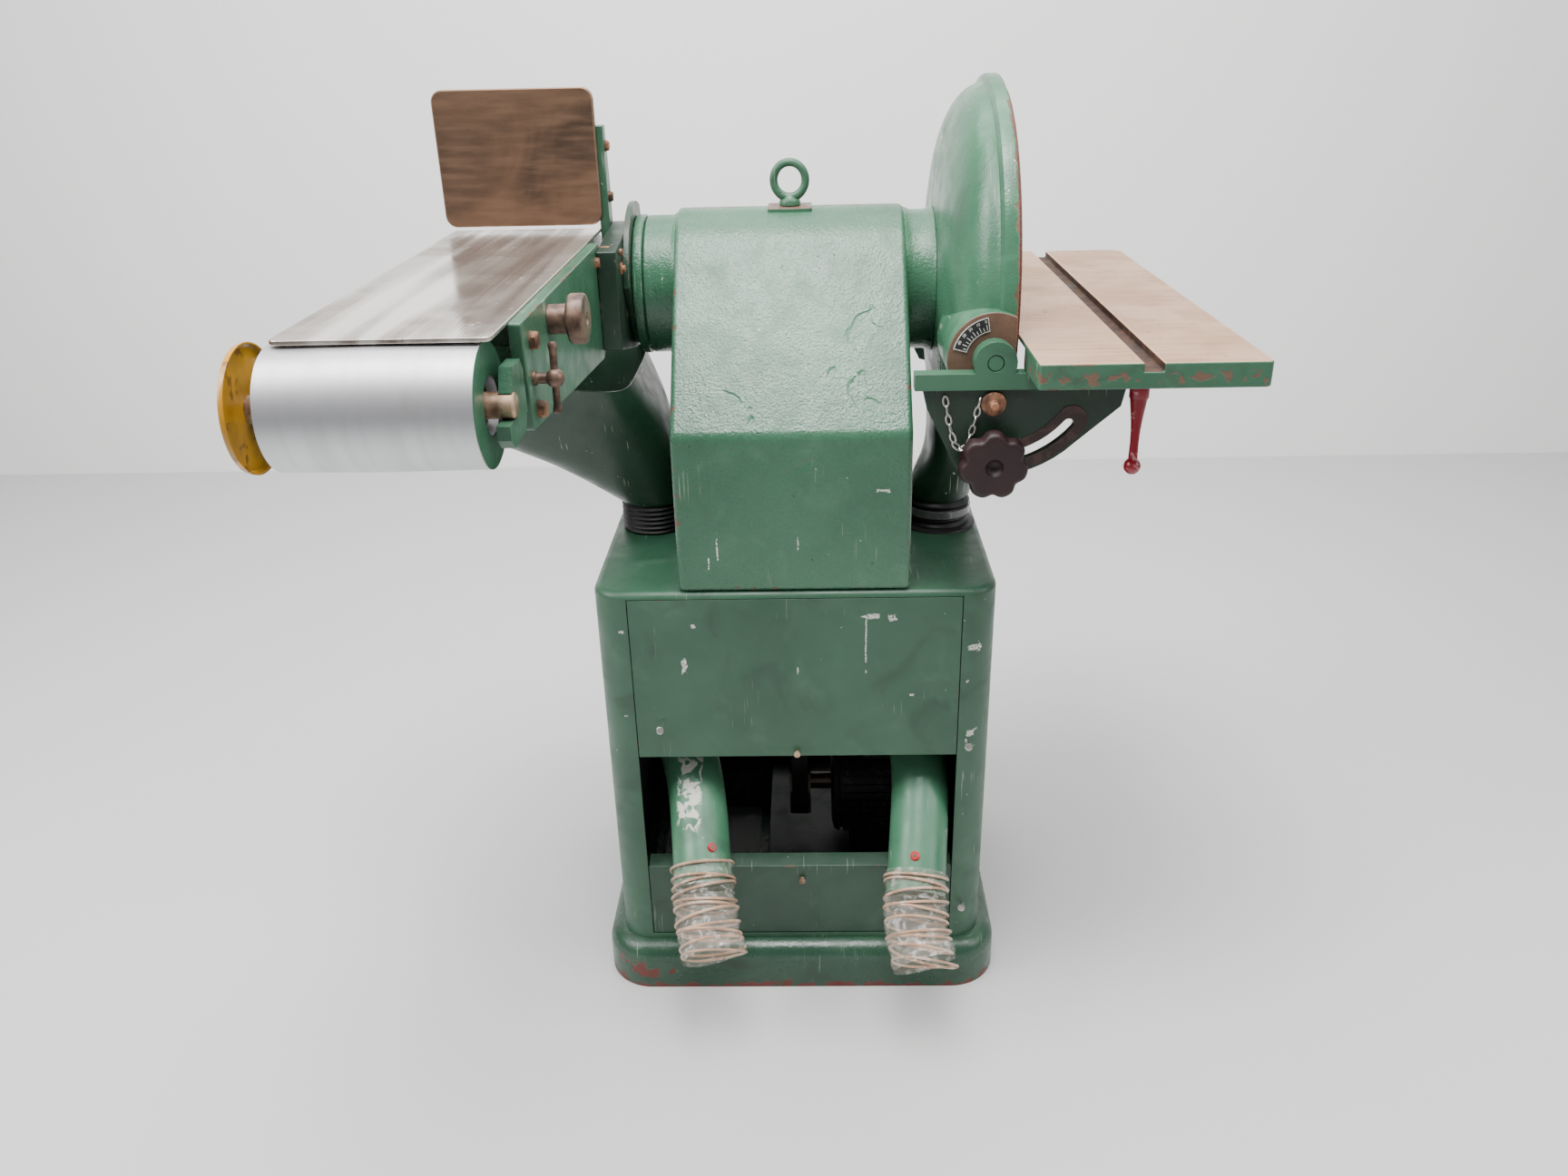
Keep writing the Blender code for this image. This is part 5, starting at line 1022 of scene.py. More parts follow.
def make_dust_pipes():
    for sign, side in ((-1, "left"), (1, "right")):
        at_window, at_mouth, longer = (0.062, 0.077, 0.0) if sign < 0 else (0.034, 0.048, 0.010)
        steps = PIPE_STEPS + ((at_window, -0.190, 0.337), (at_mouth, -0.302 - longer * 0.8, 0.431 + longer))
        route = smooth_route([(sign * (HOSE_X - inward), y, PIPE_TOP - drop) for inward, y, drop in steps], 8)
        tube = loft(rings_along(route, PIPE_RADIUS, 56), 0.002)
        piece("pipe_" + side, tube, PIPE_GREEN, "dust_pipe_" + side)
        ahead = (route[-1] - route[-5]).normalized()
        up = (Vector((0, 0, 1)) - ahead * ahead.z).normalized()
        across = ahead.cross(up)
        around = (up * 0.93 + across * (-0.36 if sign < 0 else 0.05)).normalized()
        spot = route[-1] - ahead * 0.048 + around * PIPE_RADIUS
        piece("rivet_" + side, fasteners([(spot, around)], RIVET_RED, 0.0058, 0.0035, 20, 0.007), RIVET_RED, (),
              "stand")
        piece("rivet_stem_" + side, fasteners([(spot + around * 0.0024, around)], DARK_STEEL, 0.0026, 0.002, 12),
              DARK_STEEL, (), "stand")
        make_outlet(side, route[-1], ahead, sign)


def make_outlet(side, mouth, ahead, sign):
    """Clear hose on the end of a pipe, with its wire showing through."""
    start = mouth - ahead * 0.032
    sag = 0.010 if sign < 0 else 0.017
    drift = Vector((sag, -0.008, 0.000))
    line = smooth_route([start, start + ahead * 0.030, start + ahead * 0.050, start + ahead * 0.086 + drift * 0.3,
                         start + ahead * 0.121 + drift], 8)
    count = len(line)
    radii = [OUTLET_RADIUS - 0.0042 + 0.0016 * math.sin(k * 1.55) + 0.003 * max(0.0, k / count - 0.8) * 5
             for k in range(count)]
    film = loft(rings_along(line, radii, 56), 0.0008)
    crumple = random.Random(11 if sign < 0 else 23)
    bm = bmesh.new()
    bm.from_mesh(film)
    phases = [crumple.uniform(0, math.tau) for _ in range(4)]
    for vert in bm.verts:
        around = math.atan2(vert.co.x - line[0].x, vert.co.z - line[0].z)
        along = (vert.co - start).dot(ahead)
        wave = math.sin(5 * around + 90 * along + phases[0]) + math.sin(9 * around - 150 * along + phases[1])
        spread = min(1.0, max(0.0, (along - 0.03) / 0.05))
        centre = start + ahead * along
        vert.co += (vert.co - centre) * 0.010 * wave * spread
    piece("outlet_film_" + side, mesh_of(bm), FILM, "outlet_hose_" + side)
    chance = random.Random(5 if sign < 0 else 9)
    coil = []
    turns = 10 if sign < 0 else 9
    reach = 0.93
    for k in range(turns * 36 + 1):
        turn = k / 36
        share = turn / turns
        t = (share + 0.035 * math.sin(turn * 2.1 + sign)) * reach + 0.02
        spot = start + ahead * (0.121 * min(1.0, max(0.0, t))) + drift * max(0.0, t) ** 2.6
        a = math.tau * turn
        side_way = Vector((1, 0, 0))
        side_way = (side_way - ahead * side_way.dot(ahead)).normalized()
        up = ahead.cross(side_way)
        radius = OUTLET_RADIUS - 0.0030 + 0.0007 * math.sin(a * 0.37) + chance.uniform(-1, 1) * 0.00015
        tilt = 0.006 * math.sin(turn * 1.7) * math.cos(a)
        coil.append(spot + radius * (side_way * math.cos(a) + up * math.sin(a)) + ahead * tilt)
    end = start + ahead * 0.1195 + drift
    mouth_ring = []
    for k in range(49):
        a = math.tau * k / 48
        mouth_ring.append(end + (OUTLET_RADIUS - 0.0024) * (side_way * math.cos(a) + up * math.sin(a)) +
                          ahead * 0.0016 * math.sin(2 * a))
    thick = Vector((0.3, 0.2, 1))
    wires = gathered(loft(rings_along(coil, 0.0021, 8, thick), closed_ends=True),
                     loft(rings_along(mouth_ring, 0.0018, 8, thick), closed_ends=True))
    piece("outlet_wire_" + side, wires, COPPER_WIRE, (), "stand")


def make_upper_hoses():
    for sign, node, name in ((-1, "belt_hose_left", "left_hose"), (1, "disc_hose_right", "right_hose")):
        low = CABINET_TOP + 0.0003
        place = (sign * HOSE_X, HOSE_Y, low)
        inner = HOSE_RADIUS - HOSE_WALL
        profile = [(0, inner), (0, HOSE_RADIUS - 0.002)]
        count = 6 if sign < 0 else 4
        tall = HOSE_TOP - low
        for k in range(count * 6 + 1):
            t = k / (count * 6)
            profile.append((tall * t, HOSE_RADIUS - 0.0022 + 0.0020 * math.sin(t * count * math.tau - 1.57)))
        profile.append((tall, inner))
        piece(name, turned(profile, place, (0, 0, 1), 72), RUBBER, node, smooth=60)
        if sign > 0:
            band = [(0.020, HOSE_RADIUS - 0.002), (0.020, HOSE_RADIUS + 0.0012), (0.031, HOSE_RADIUS + 0.0012),
                    (0.031, HOSE_RADIUS - 0.002)]
            piece("hose_band", turned(band, place, (0, 0, 1), 72), TAPE, (), "stand")
            flange = [(0, HOSE_RADIUS - 0.003), (0, HOSE_RADIUS + 0.009), (0.0025, HOSE_RADIUS + 0.008),
                      (0.004, HOSE_RADIUS + 0.001), (0.004, HOSE_RADIUS - 0.003)]
            piece("hose_flange", turned(flange, place, (0, 0, 1), 72), RUBBER, (), "stand")


def make_motor():
    end, start = 0.237, 0.052
    centre = (0, 0.025, 0.1846)
    profile = [(end, 0), (end, 0.058), (end - 0.006, 0.074), (end - 0.020, 0.0815), (end - 0.022, 0.078),
               (start + 0.014, 0.078), (start + 0.012, 0.084), (start + 0.004, 0.080), (start, 0.066), (start, 0)]
    body = turned(profile, centre, (1, 0, 0), 72)
    feet = eased(block((start + 0.030, 0.025 - 0.068, 0.0859), (end - 0.030, 0.025 + 0.068, 0.138)), 0.003, 2)
    cover = eased(block((start + 0.050, -0.020, 0.250), (start + 0.130, 0.070, 0.2915)), 0.006, 3)
    fins = []
    for k in range(40):
        a = math.tau * k / 40
        if math.sin(a) < -0.72 or math.sin(a) > 0.86:
            continue
        way = Vector((0, math.cos(a), math.sin(a)))
        side = Vector((0, -math.sin(a), math.cos(a))) * 0.0013
        base, top = Vector(centre) + way * 0.076, Vector(centre) + way * 0.0846
        corners = [base - side, base + side, top + side * 0.6, top - side * 0.6]
        fins.append(loft([[Vector((x, c.y, c.z)) for c in corners] for x in (start + 0.018, end - 0.024)],
                         closed_ends=True))
    piece("motor_casing", gathered(body, feet, cover, *fins), MOTOR_GREY, "motor_body")
    piece("motor_mount", eased(node_mesh("motor_plate"), 0.0015, 2), WEB_SHADE_AND_GRIME_GREEN, "motor_plate")


# ---------------------------------------------------------------- head
def head_outline(inset):
    radius = HEAD_RADIUS - inset
    front = HEAD_FRONT + inset
    tangent = math.pi / 2 + HEAD_SLOPE
    meet = (SPINDLE.y + radius * math.cos(tangent), SPINDLE.z + radius * math.sin(tangent))
    knee = meet[1] - (meet[0] - front) * math.tan(HEAD_SLOPE)
    base = CABINET_TOP + 0.0003 - inset
    over = arc((SPINDLE.y, SPINDLE.z), radius, tangent, 0, 40)
    bend = rounded([(front, base), (front, knee), over[0]], [0, 0.022 if not inset else 0.010, 0], 8)
    return bend[:-1] + over + [(SPINDLE.y + radius, base)]


def make_head():
    body = slab([head_outline(0)], ALONG_X, -HEAD_HALF, HEAD_HALF)
    body = eased(body, 0.0075, 5, 50)
    collars = [turned([(LEFT_COLLAR[0] + 0.0008, 0), (LEFT_COLLAR[0] + 0.0008, LEFT_COLLAR[1] - 0.002),
                       (LEFT_COLLAR[0] + 0.003, LEFT_COLLAR[1]), (-HEAD_HALF - 0.006, LEFT_COLLAR[1]),
                       (-HEAD_HALF - 0.002, LEFT_COLLAR[1] + 0.0025), (-HEAD_HALF + 0.01, LEFT_COLLAR[1] + 0.004),
                       (-HEAD_HALF + 0.01, 0)], SPINDLE),
               turned([(HEAD_HALF - 0.01, 0), (HEAD_HALF - 0.01, RIGHT_COLLAR[1] + 0.002),
                       (HEAD_HALF + 0.003, RIGHT_COLLAR[1] - 0.002), (HEAD_HALF + 0.010, RIGHT_COLLAR[1] - 0.005),
                       (RIGHT_COLLAR[0] - 0.010, RIGHT_COLLAR[1] - 0.005), (RIGHT_COLLAR[0], RIGHT_COLLAR[1]),
                       (RIGHT_COLLAR[0], 0)], SPINDLE)]
    body = joined(body, *collars)
    top = SPINDLE.z + HEAD_RADIUS
    pad = slab([rounded([(-0.030, -0.005), (0.030, -0.005), (0.030, 0.055), (-0.030, 0.055)], 0.004, 4)], ALONG_Z,
               top - 0.008, top + 0.0006)
    body = joined(body, eased(pad, 0.0005, 1))
    body = cut(body, slab([head_outline(HEAD_WALL)], ALONG_X, -HEAD_HALF + HEAD_WALL, HEAD_HALF - HEAD_WALL))
    body = cut(body, rod(SPINDLE + Vector((-0.3, 0, 0)), SPINDLE + Vector((0.3, 0, 0)), 0.040, sides=64))
    body = cut(body, rod((0, SPINDLE.y, top - 0.03), (0, SPINDLE.y, top + 0.01), 0.0065, sides=32))
    piece("head_body", body, HEAD_GREEN, "head_casting", smooth=38)
    inner = 0.028
    face = LEFT_COLLAR[0] - 0.0003
    cap = [(face, inner), (face, 0.092), (face - 0.001, 0.0935), (face - 0.0015, 0.094), (CAP_END + 0.004, 0.094),
           (CAP_END + 0.001, 0.0925), (CAP_END, 0.090), (CAP_END, SPIGOT_RADIUS),
           (CAP_END - SPIGOT_LENGTH, SPIGOT_RADIUS), (CAP_END - SPIGOT_LENGTH, inner)]
    piece("collar_cap", turned(cap, SPINDLE), HEAD_GREEN, "end_cap", smooth=30)
    make_eyebolt(top)


def make_eyebolt(seat):
    ring_radius, wire = 0.0215, 0.0055
    collar = seat + 0.010
    ring_z = collar + ring_radius + wire - 0.003
    bolt = turned([(collar + 0.004, 0), (collar + 0.004, 0.0072), (collar, 0.0100), (collar - 0.0012, 0.0132),
                   (collar - 0.004, 0.0146), (seat + 0.0018, 0.0146), (seat + 0.0008, 0.0136), (seat + 0.0008, 0.006),
                   (seat - 0.018, 0.006), (seat - 0.018, 0)], (0, SPINDLE.y, 0), (0, 0, 1), 48)
    loops = []
    steps = 64
    for k in range(steps + 1):
        a = math.tau * k / steps
        thick = wire * (1 + 0.16 * max(0.0, -math.cos(a)) ** 3)
        spot = Vector((ring_radius * math.sin(a), SPINDLE.y, ring_z + ring_radius * 1.06 * math.cos(a)))
        way = Vector((math.sin(a), 0, math.cos(a)))
        loops.append([spot + way * thick * math.cos(b) + Vector((0, thick * math.sin(b), 0))
                      for b in (math.tau * j / 20 for j in range(20))])
    ring = ring_mesh(loops[:-1])
    piece("lifting_eye", gathered(bolt, ring), CAST_GREEN, "eyebolt", smooth=40)


def ring_mesh(loops):
    """A closed ring through loops of points."""
    bm = bmesh.new()
    rings = [[bm.verts.new(point) for point in loop] for loop in loops]
    for k, lower in enumerate(rings):
        upper = rings[(k + 1) % len(rings)]
        for j in range(len(lower)):
            after = (j + 1) % len(lower)
            bm.faces.new((lower[j], lower[after], upper[after], upper[j]))
    bmesh.ops.recalc_face_normals(bm, faces=bm.faces)
    return mesh_of(bm)


# ---------------------------------------------------------------- disc unit
def housing_curve(inset, steps=16):
    back = HOUSING_BACK + inset
    side = HOUSING_RADIUS - 0.012 - inset
    lip = RIM_X - HOUSING_LIP
    reach = lip - back - 0.002
    points = [(back, HOUSING_FLAT * 0.7), (back + 0.0005, HOUSING_FLAT * 0.9), (back + 0.002, HOUSING_FLAT)]
    points += [(back + 0.002 + reach * (1 - math.cos(a)), HOUSING_FLAT + (side - HOUSING_FLAT) * math.sin(a))
               for a in (math.pi / 2 * k / steps for k in range(1, steps + 1))]
    return points


def make_housing():
    lip_back = RIM_X - HOUSING_LIP
    outer = [(RIM_X, 0), (RIM_X, HOUSING_RADIUS - 0.004), (RIM_X - 0.0012, HOUSING_RADIUS - 0.0012),
             (RIM_X - 0.004, HOUSING_RADIUS), (lip_back + 0.007, HOUSING_RADIUS),
             (lip_back + 0.003, HOUSING_RADIUS - 0.0012), (lip_back + 0.0005, HOUSING_RADIUS - 0.005),
             (lip_back - 0.001, HOUSING_RADIUS - 0.0095)]
    body = turned(outer + housing_curve(0)[::-1][1:] + [(HOUSING_BACK, 0)], SPINDLE, steps=128)
    extras = []
    for sign in (-1, 1):
        seat = SPINDLE.y + sign * (BOSS_FACE - 0.0003)
        inner = SPINDLE.y + sign * 0.150
        face = [(min(x, RIM_X - 0.001), z) for x, z in circle((PIVOT.x, PIVOT.z), BOSS_RADIUS, 96)]
        extras.append(eased(slab([face], ALONG_Y, min(seat, inner), max(seat, inner)), 0.0022, 3, 50))
        low = (PIVOT.x, SPINDLE.y + sign * 0.100, PIVOT.z - ARC_RADIUS)
        extras.append(eased(rod((PIVOT.x, seat, low[2]), low, 0.024), 0.002, 3, 50))
    for extra in extras:
        body = joined(body, extra, solver="MANIFOLD")
    back, front = HOUSING_BACK + HOUSING_WALL, RIM_X + 0.01
    wide = HOUSING_RADIUS - HOUSING_WALL
    hole = SHAFT_RADIUS + 0.012
    inside = [(front, 0), (front, wide), (RIM_X - HOUSING_LIP + 0.006, wide)]
    inside += housing_curve(HOUSING_WALL)[::-1] + [(back, hole), (HOUSING_BACK - 0.01, hole), (HOUSING_BACK - 0.01, 0)]
    body = cut(body, turned(inside, SPINDLE, steps=128), solver="MANIFOLD")
    outlet_x = (HOUSING_BACK + RIM_X) / 2 - 0.008
    holes = [rod((outlet_x, SPINDLE.y, SPINDLE.z - HOUSING_RADIUS - 0.02),
                 (outlet_x, SPINDLE.y, SPINDLE.z - HOUSING_RADIUS + 0.04), 0.022)]
    for sign in (-1, 1):
        seat, deep = SPINDLE.y + sign * (BOSS_FACE + 0.01), SPINDLE.y + sign * (BOSS_FACE - 0.012)
        for drop, radius in ((0, 0.0103), (ARC_RADIUS, 0.0063)):
            holes.append(rod((PIVOT.x, seat, PIVOT.z - drop), (PIVOT.x, deep, PIVOT.z - drop), radius))
    for hole_cutter in holes:
        body = cut(body, hole_cutter, solver="MANIFOLD")
    piece("disc_bowl", merged(body, 1e-5), BOWL_GREEN, "disc_housing", smooth=32)


def make_disc():
    back = DISC_FRONT - 0.014
    plate = [(DISC_FRONT, 0.0123), (DISC_FRONT, DISC_RADIUS - 0.0008), (DISC_FRONT - 0.0008, DISC_RADIUS),
             (back + 0.001, DISC_RADIUS), (back, DISC_RADIUS - 0.001), (back, 0.0123)]
    piece("disc_body", turned(plate, SPINDLE, steps=160), ROLLER_ALUMINIUM, "disc_plate")
    face = DISC_FRONT + 0.0003
    sheet = [(face + 0.0027, 0), (face + 0.0027, DISC_RADIUS - 0.0014), (face + 0.0022, DISC_RADIUS - 0.001),
             (face, DISC_RADIUS - 0.001), (face, 0)]
    piece("disc_paper", turned(sheet, SPINDLE, steps=160), ABRASIVE, "abrasive_disc")


def duct_ring(z, x, y, half_x, half_y, power, sides=64):
    loop = []
    for k in range(sides):
        a = math.tau * (k + 0.5) / sides
        c, s = math.cos(a), math.sin(a)
        loop.append((x + half_x * math.copysign(abs(c) ** power, c), y + half_y * math.copysign(abs(s) ** power, s),
                     z))
    return loop


def eased_stations(stations, steps=6):
    """Stations of numbers, with smooth ones in between."""
    made = []
    padded = [stations[0]] + list(stations) + [stations[-1]]
    for a, b, c, d in zip(padded, padded[1:], padded[2:], padded[3:]):
        for step in range(steps):
            t = step / steps
            made.append(tuple(0.5 * (2 * q + (r - p) * t + (2 * p - 5 * q + 4 * r - s) * t ** 2
                                     + (3 * q - p - 3 * r + s) * t ** 3) for p, q, r, s in zip(a, b, c, d)))
    return made + [tuple(stations[-1])]


def make_duct():
    inner = HOSE_RADIUS - HOSE_WALL - 0.0006
    mid = (HOUSING_BACK + RIM_X) / 2
    neck = [(HOSE_TOP - 0.014, HOSE_X, HOSE_Y, inner, inner, 1.0),
            (HOSE_TOP + 0.0003, HOSE_X, HOSE_Y, inner, inner, 1.0)]
    flare = [(HOSE_TOP + 0.006, HOSE_X, HOSE_Y, HOSE_RADIUS - 0.001, HOSE_RADIUS - 0.001, 1.0),
             (HOSE_TOP + 0.030, HOSE_X + 0.006, HOSE_Y + 0.002, HOSE_RADIUS - 0.003, HOSE_RADIUS + 0.010, 0.8),
             (HOSE_TOP + 0.075, mid, SPINDLE.y, 0.0376, 0.080, 0.55),
             (SPINDLE.z - HOUSING_FLAT - 0.022, mid, SPINDLE.y, 0.0376, 0.092, 0.45)]
    loops = [duct_ring(*station) for station in neck + eased_stations(flare)]
    body = loft(loops, 0.003)
    swell = 1 / math.cos(math.pi / 128)
    clear = [(RIM_X + 0.05, 0), (RIM_X + 0.05, (HOUSING_RADIUS + 0.0003) * swell),
             (RIM_X - HOUSING_LIP - 0.0003, (HOUSING_RADIUS + 0.0003) * swell)]
    clear += [(x - 0.0006, (radius + 0.0006) * swell) for x, radius in housing_curve(0)[::-1]]
    clear.append((HOUSING_BACK - 0.0006, 0))
    body = cut(body, turned(clear, SPINDLE, steps=128))
    piece("dust_neck", body, HOOD_GREEN, "disc_duct", smooth=40)


def make_table():
    top = eased(node_mesh("disc_table"), 0.0022, 3, 40)
    sides = machine_green("table_green", 0.95, 0.6, 0.3, 0.8, 0.8, 9.4, bare=table_edge_bare)
    item = piece("table_plate", top, TABLE_IRON, "disc_table")
    item.data.materials.append(sides)
    item.data.materials.append(SLOT_RUST_AND_SHADE)
    # The slot's faces take the dark rust colour, which also paints the shade inside the slot
    for polygon in item.data.polygons:
        low = polygon.center.z < TABLE_TOP - 0.0125
        across = abs(polygon.normal.y) > 0.5
        along = abs(polygon.normal.x) > 0.5 and abs(polygon.center.x - MITRE_SLOT_X) > 0.03
        slot = abs(polygon.center.x - MITRE_SLOT_X) < 0.0125 and polygon.center.z < TABLE_TOP - 0.0016
        polygon.material_index = 2 if slot and not across else 1 if low or across or along else 0
    for sign, side in ((-1, "front"), (1, "rear")):
        make_trunnion(side, sign)
        make_lock_knob(side, sign)
        make_clamp_lever(side, sign)


def make_trunnion(side, sign):
    body = eased(node_mesh("trunnion_" + side), 0.0018, 3, 40)
    bracket = piece("table_bracket_" + side, body, CAST_GREEN, "trunnion_" + side)
    bracket.data.materials.append(WEB_SHADE_AND_GRIME_GREEN)
    for polygon in bracket.data.polygons:
        # Faces below the flange take the very dark green: grime and painted shade under the table
        polygon.material_index = 1 if polygon.center.z < TABLE_BASE - FLANGE_DEPTH - 0.0012 else 0
    inner = SPINDLE.y + sign * (BOSS_FACE - 0.010)
    outer = SPINDLE.y + sign * (TRUNNION_OUTER - 0.0005)
    pin = turned([(0, 0), (0, 0.0098), (abs(outer - inner) - 0.0012, 0.0098), (abs(outer - inner), 0.0086),
                  (abs(outer - inner), 0)], (PIVOT.x, inner, PIVOT.z), (0, sign, 0), 48)
    piece("pivot_" + side, pin, CAST_GREEN, "pivot_pin_" + side)
    band = []
    for radius, way in ((ARC_RADIUS + 0.0190, 1), (ARC_RADIUS - 0.0190, -1)):
        start, end = ARC_START - 0.10, ARC_END + 0.05
        band += arc((PIVOT.x, PIVOT.z), radius, *((start, end) if way > 0 else (end, start)), 40)
        tip = end if way > 0 else start
        middle = (PIVOT.x + ARC_RADIUS * math.cos(tip), PIVOT.z + ARC_RADIUS * math.sin(tip))
        band += arc(middle, 0.0190, tip if way > 0 else tip - math.pi, tip + math.pi if way > 0 else tip, 12)[1:-1]
    slot = []
    for radius, way in ((ARC_RADIUS + 0.0072, 1), (ARC_RADIUS - 0.0072, -1)):
        slot += arc((PIVOT.x, PIVOT.z), radius, *((ARC_START, ARC_END) if way > 0 else (ARC_END, ARC_START)), 40)
        tip = ARC_END if way > 0 else ARC_START
        middle = (PIVOT.x + ARC_RADIUS * math.cos(tip), PIVOT.z + ARC_RADIUS * math.sin(tip))
        slot += arc(middle, 0.0072, tip if way > 0 else tip - math.pi, tip + math.pi if way > 0 else tip, 10)[1:-1]
    face = SPINDLE.y + sign * WEB_OUTER
    rim = slab([band, slot], ALONG_Y, min(face - sign * 0.001, face + sign * 0.0012),
               max(face - sign * 0.001, face + sign * 0.0012))
    piece("slot_band_" + side, eased(rim, 0.0005, 1), BAND_MAROON, (), "table")


def make_lock_knob(side, sign):
    outside = SPINDLE.y + sign * (WEB_OUTER + 0.0003)
    centre = Vector((PIVOT.x, 0, PIVOT.z - ARC_RADIUS))
    near = outside + sign * 0.010
    tall = 0.026
    loops = []
    for k in range(15):
        t = k / 14
        depth = tall * t
        crown = math.sin(math.pi * min(1.0, max(0.0, t)) ** 0.9) ** 0.35 if 0 < t < 1 else 0.0
        grip = 0.80 + 0.20 * crown
        loop = []
        for j in range(112):
            a = math.tau * j / 112
            reach = KNOB_RADIUS * (0.930 + 0.070 * math.cos(7 * a) - 0.016 * math.cos(14 * a)) * grip
            loop.append((centre.x + reach * math.sin(a), near + sign * depth, centre.z + reach * math.cos(a)))
        loops.append(loop)
    body = loft(loops, closed_ends=True)
    body = cut(body, sphere((centre.x, near + sign * (tall + 0.004), centre.z), 0.012, 48))
    boss = rod((centre.x, outside, centre.z), (centre.x, near + sign * 0.004, centre.z), 0.017, 0.015)
    stud = rod((centre.x, SPINDLE.y + sign * (BOSS_FACE - 0.010), centre.z), (centre.x, near, centre.z), 0.006)
    piece("star_knob_" + side, gathered(body, boss, stud), MAROON, "lock_knob_" + side,
          smooth=50)


def make_clamp_lever(side, sign):
    x, y = LEVER_X, SPINDLE.y + sign * LEVER_SEAT
    hub_top = TABLE_BASE - 0.020 - 0.0006
    hub = turned([(0, 0), (0, 0.0105), (0.0015, 0.012), (0.0145, 0.012), (0.016, 0.0108), (0.016, 0)],
                 (x, y, hub_top - 0.016), (0, 0, 1), 40)
    tip = Vector((x - 0.004, y - 0.016, hub_top - 0.097))
    root = Vector((x, y, hub_top - 0.008))
    route = [root.lerp(tip, k / 12) for k in range(13)]
    radii = [0.0120 - 0.0070 * math.sin(math.pi / 2 * min(1, k / 9)) + 0.0012 * (k / 12) ** 4 for k in range(13)]
    arm = loft(rings_along(route, radii, 32), closed_ends=True)
    stud = rod((x, y, hub_top - 0.006), (x, y, TABLE_BASE + 0.012), 0.006)
    piece("lever_" + side, gathered(hub, arm, sphere(tip, 0.0105), stud), LEVER_RED, "clamp_lever_" + side,
          smooth=50)


def make_index_pin():
    web = SPINDLE.y - WEB_OUTER - 0.0003
    head = turned([(-0.0117, 0), (-0.0117, 0.005), (0, 0.005), (0, 0.0148), (0.0015, 0.015), (0.0045, 0.0148),
                   (0.0062, 0.0125), (0.0066, 0.0062), (0.0072, 0.0052), (0.0162, 0.0050), (0.017, 0.0042),
                   (0.017, 0)], (PIVOT.x, web, INDEX_Z), (0, -1, 0), 48)
    piece("pin_head", head, RUSTY, "index_pin")
    start = Vector((PIVOT.x - 0.058, web - 0.003, PIVOT.z - 0.046))
    end = Vector((PIVOT.x - 0.0175, web - 0.004, INDEX_Z + 0.002))
    hang = 0.060
    route = [start.lerp(end, k / 40) - Vector((0, 0, 4 * hang * k / 40 * (1 - k / 40))) for k in range(41)]
    links = chain_links([tuple(p) for p in route], 0.0155, 0.0088, 0.00125, BRIGHT_STEEL)
    piece("chain", links, BRIGHT_STEEL, "pin_chain")


def make_degree_scale():
    face = SPINDLE.y - BOSS_FACE
    centre = (PIVOT.x, PIVOT.z)
    start, end = math.radians(100), math.radians(165)

    def ring_part(inner, outer, first, last):
        return arc(centre, outer, first, last, 24) + arc(centre, inner, last, first, 24)

    plate = slab([ring_part(0.034, 0.050, start, end)], ALONG_Y, face - 0.0013, face)
    piece("scale_plate", plate, SCALE_BLACK, "degree_scale")
    border = slab([ring_part(0.0337, 0.0503, start - 0.01, end + 0.01), ring_part(0.0344, 0.0496, start + 0.008,
                                                                                   end - 0.008)],
                  ALONG_Y, face - 0.0015, face - 0.0003)
    marks = []
    for k in range(10):
        a = math.radians(104 + 6.3 * k)
        inner, outer = (0.0356, 0.0420) if k % 2 == 0 else (0.0356, 0.0395)
        way, side = Vector((math.cos(a), 0, math.sin(a))), Vector((-math.sin(a), 0, math.cos(a))) * 0.00042
        middle = Vector((PIVOT.x, 0, PIVOT.z))
        corners = [middle + way * inner - side, middle + way * inner + side, middle + way * outer + side,
                   middle + way * outer - side]
        marks.append(loft([[Vector((c.x, y, c.z)) for c in corners] for y in (face - 0.0015, face - 0.0008)],
                          closed_ends=True))
    piece("scale_marks", gathered(border, *marks), SCALE_PALE, (), "stand")
    for k, words in enumerate(("0", "10", "20", "30", "40")):
        a = math.radians(104 + 12.6 * k)
        curve = bpy.data.curves.new("number", "FONT")
        curve.body = words
        curve.size = 0.0050
        curve.align_x = "CENTER"
        curve.align_y = "CENTER"
        curve.extrude = 0.0002
        item = temporary(curve)
        spot = Vector((PIVOT.x + 0.0460 * math.cos(a), face - 0.0013, PIVOT.z + 0.0460 * math.sin(a)))
        item.matrix_world = Matrix.Translation(spot) @ Matrix.Rotation(math.pi / 2 - a, 4, "Y") \
            @ Matrix.Rotation(math.pi / 2, 4, "X")
        piece("scale_number_" + words, merged(settled(item)), SCALE_PALE, (), "stand")


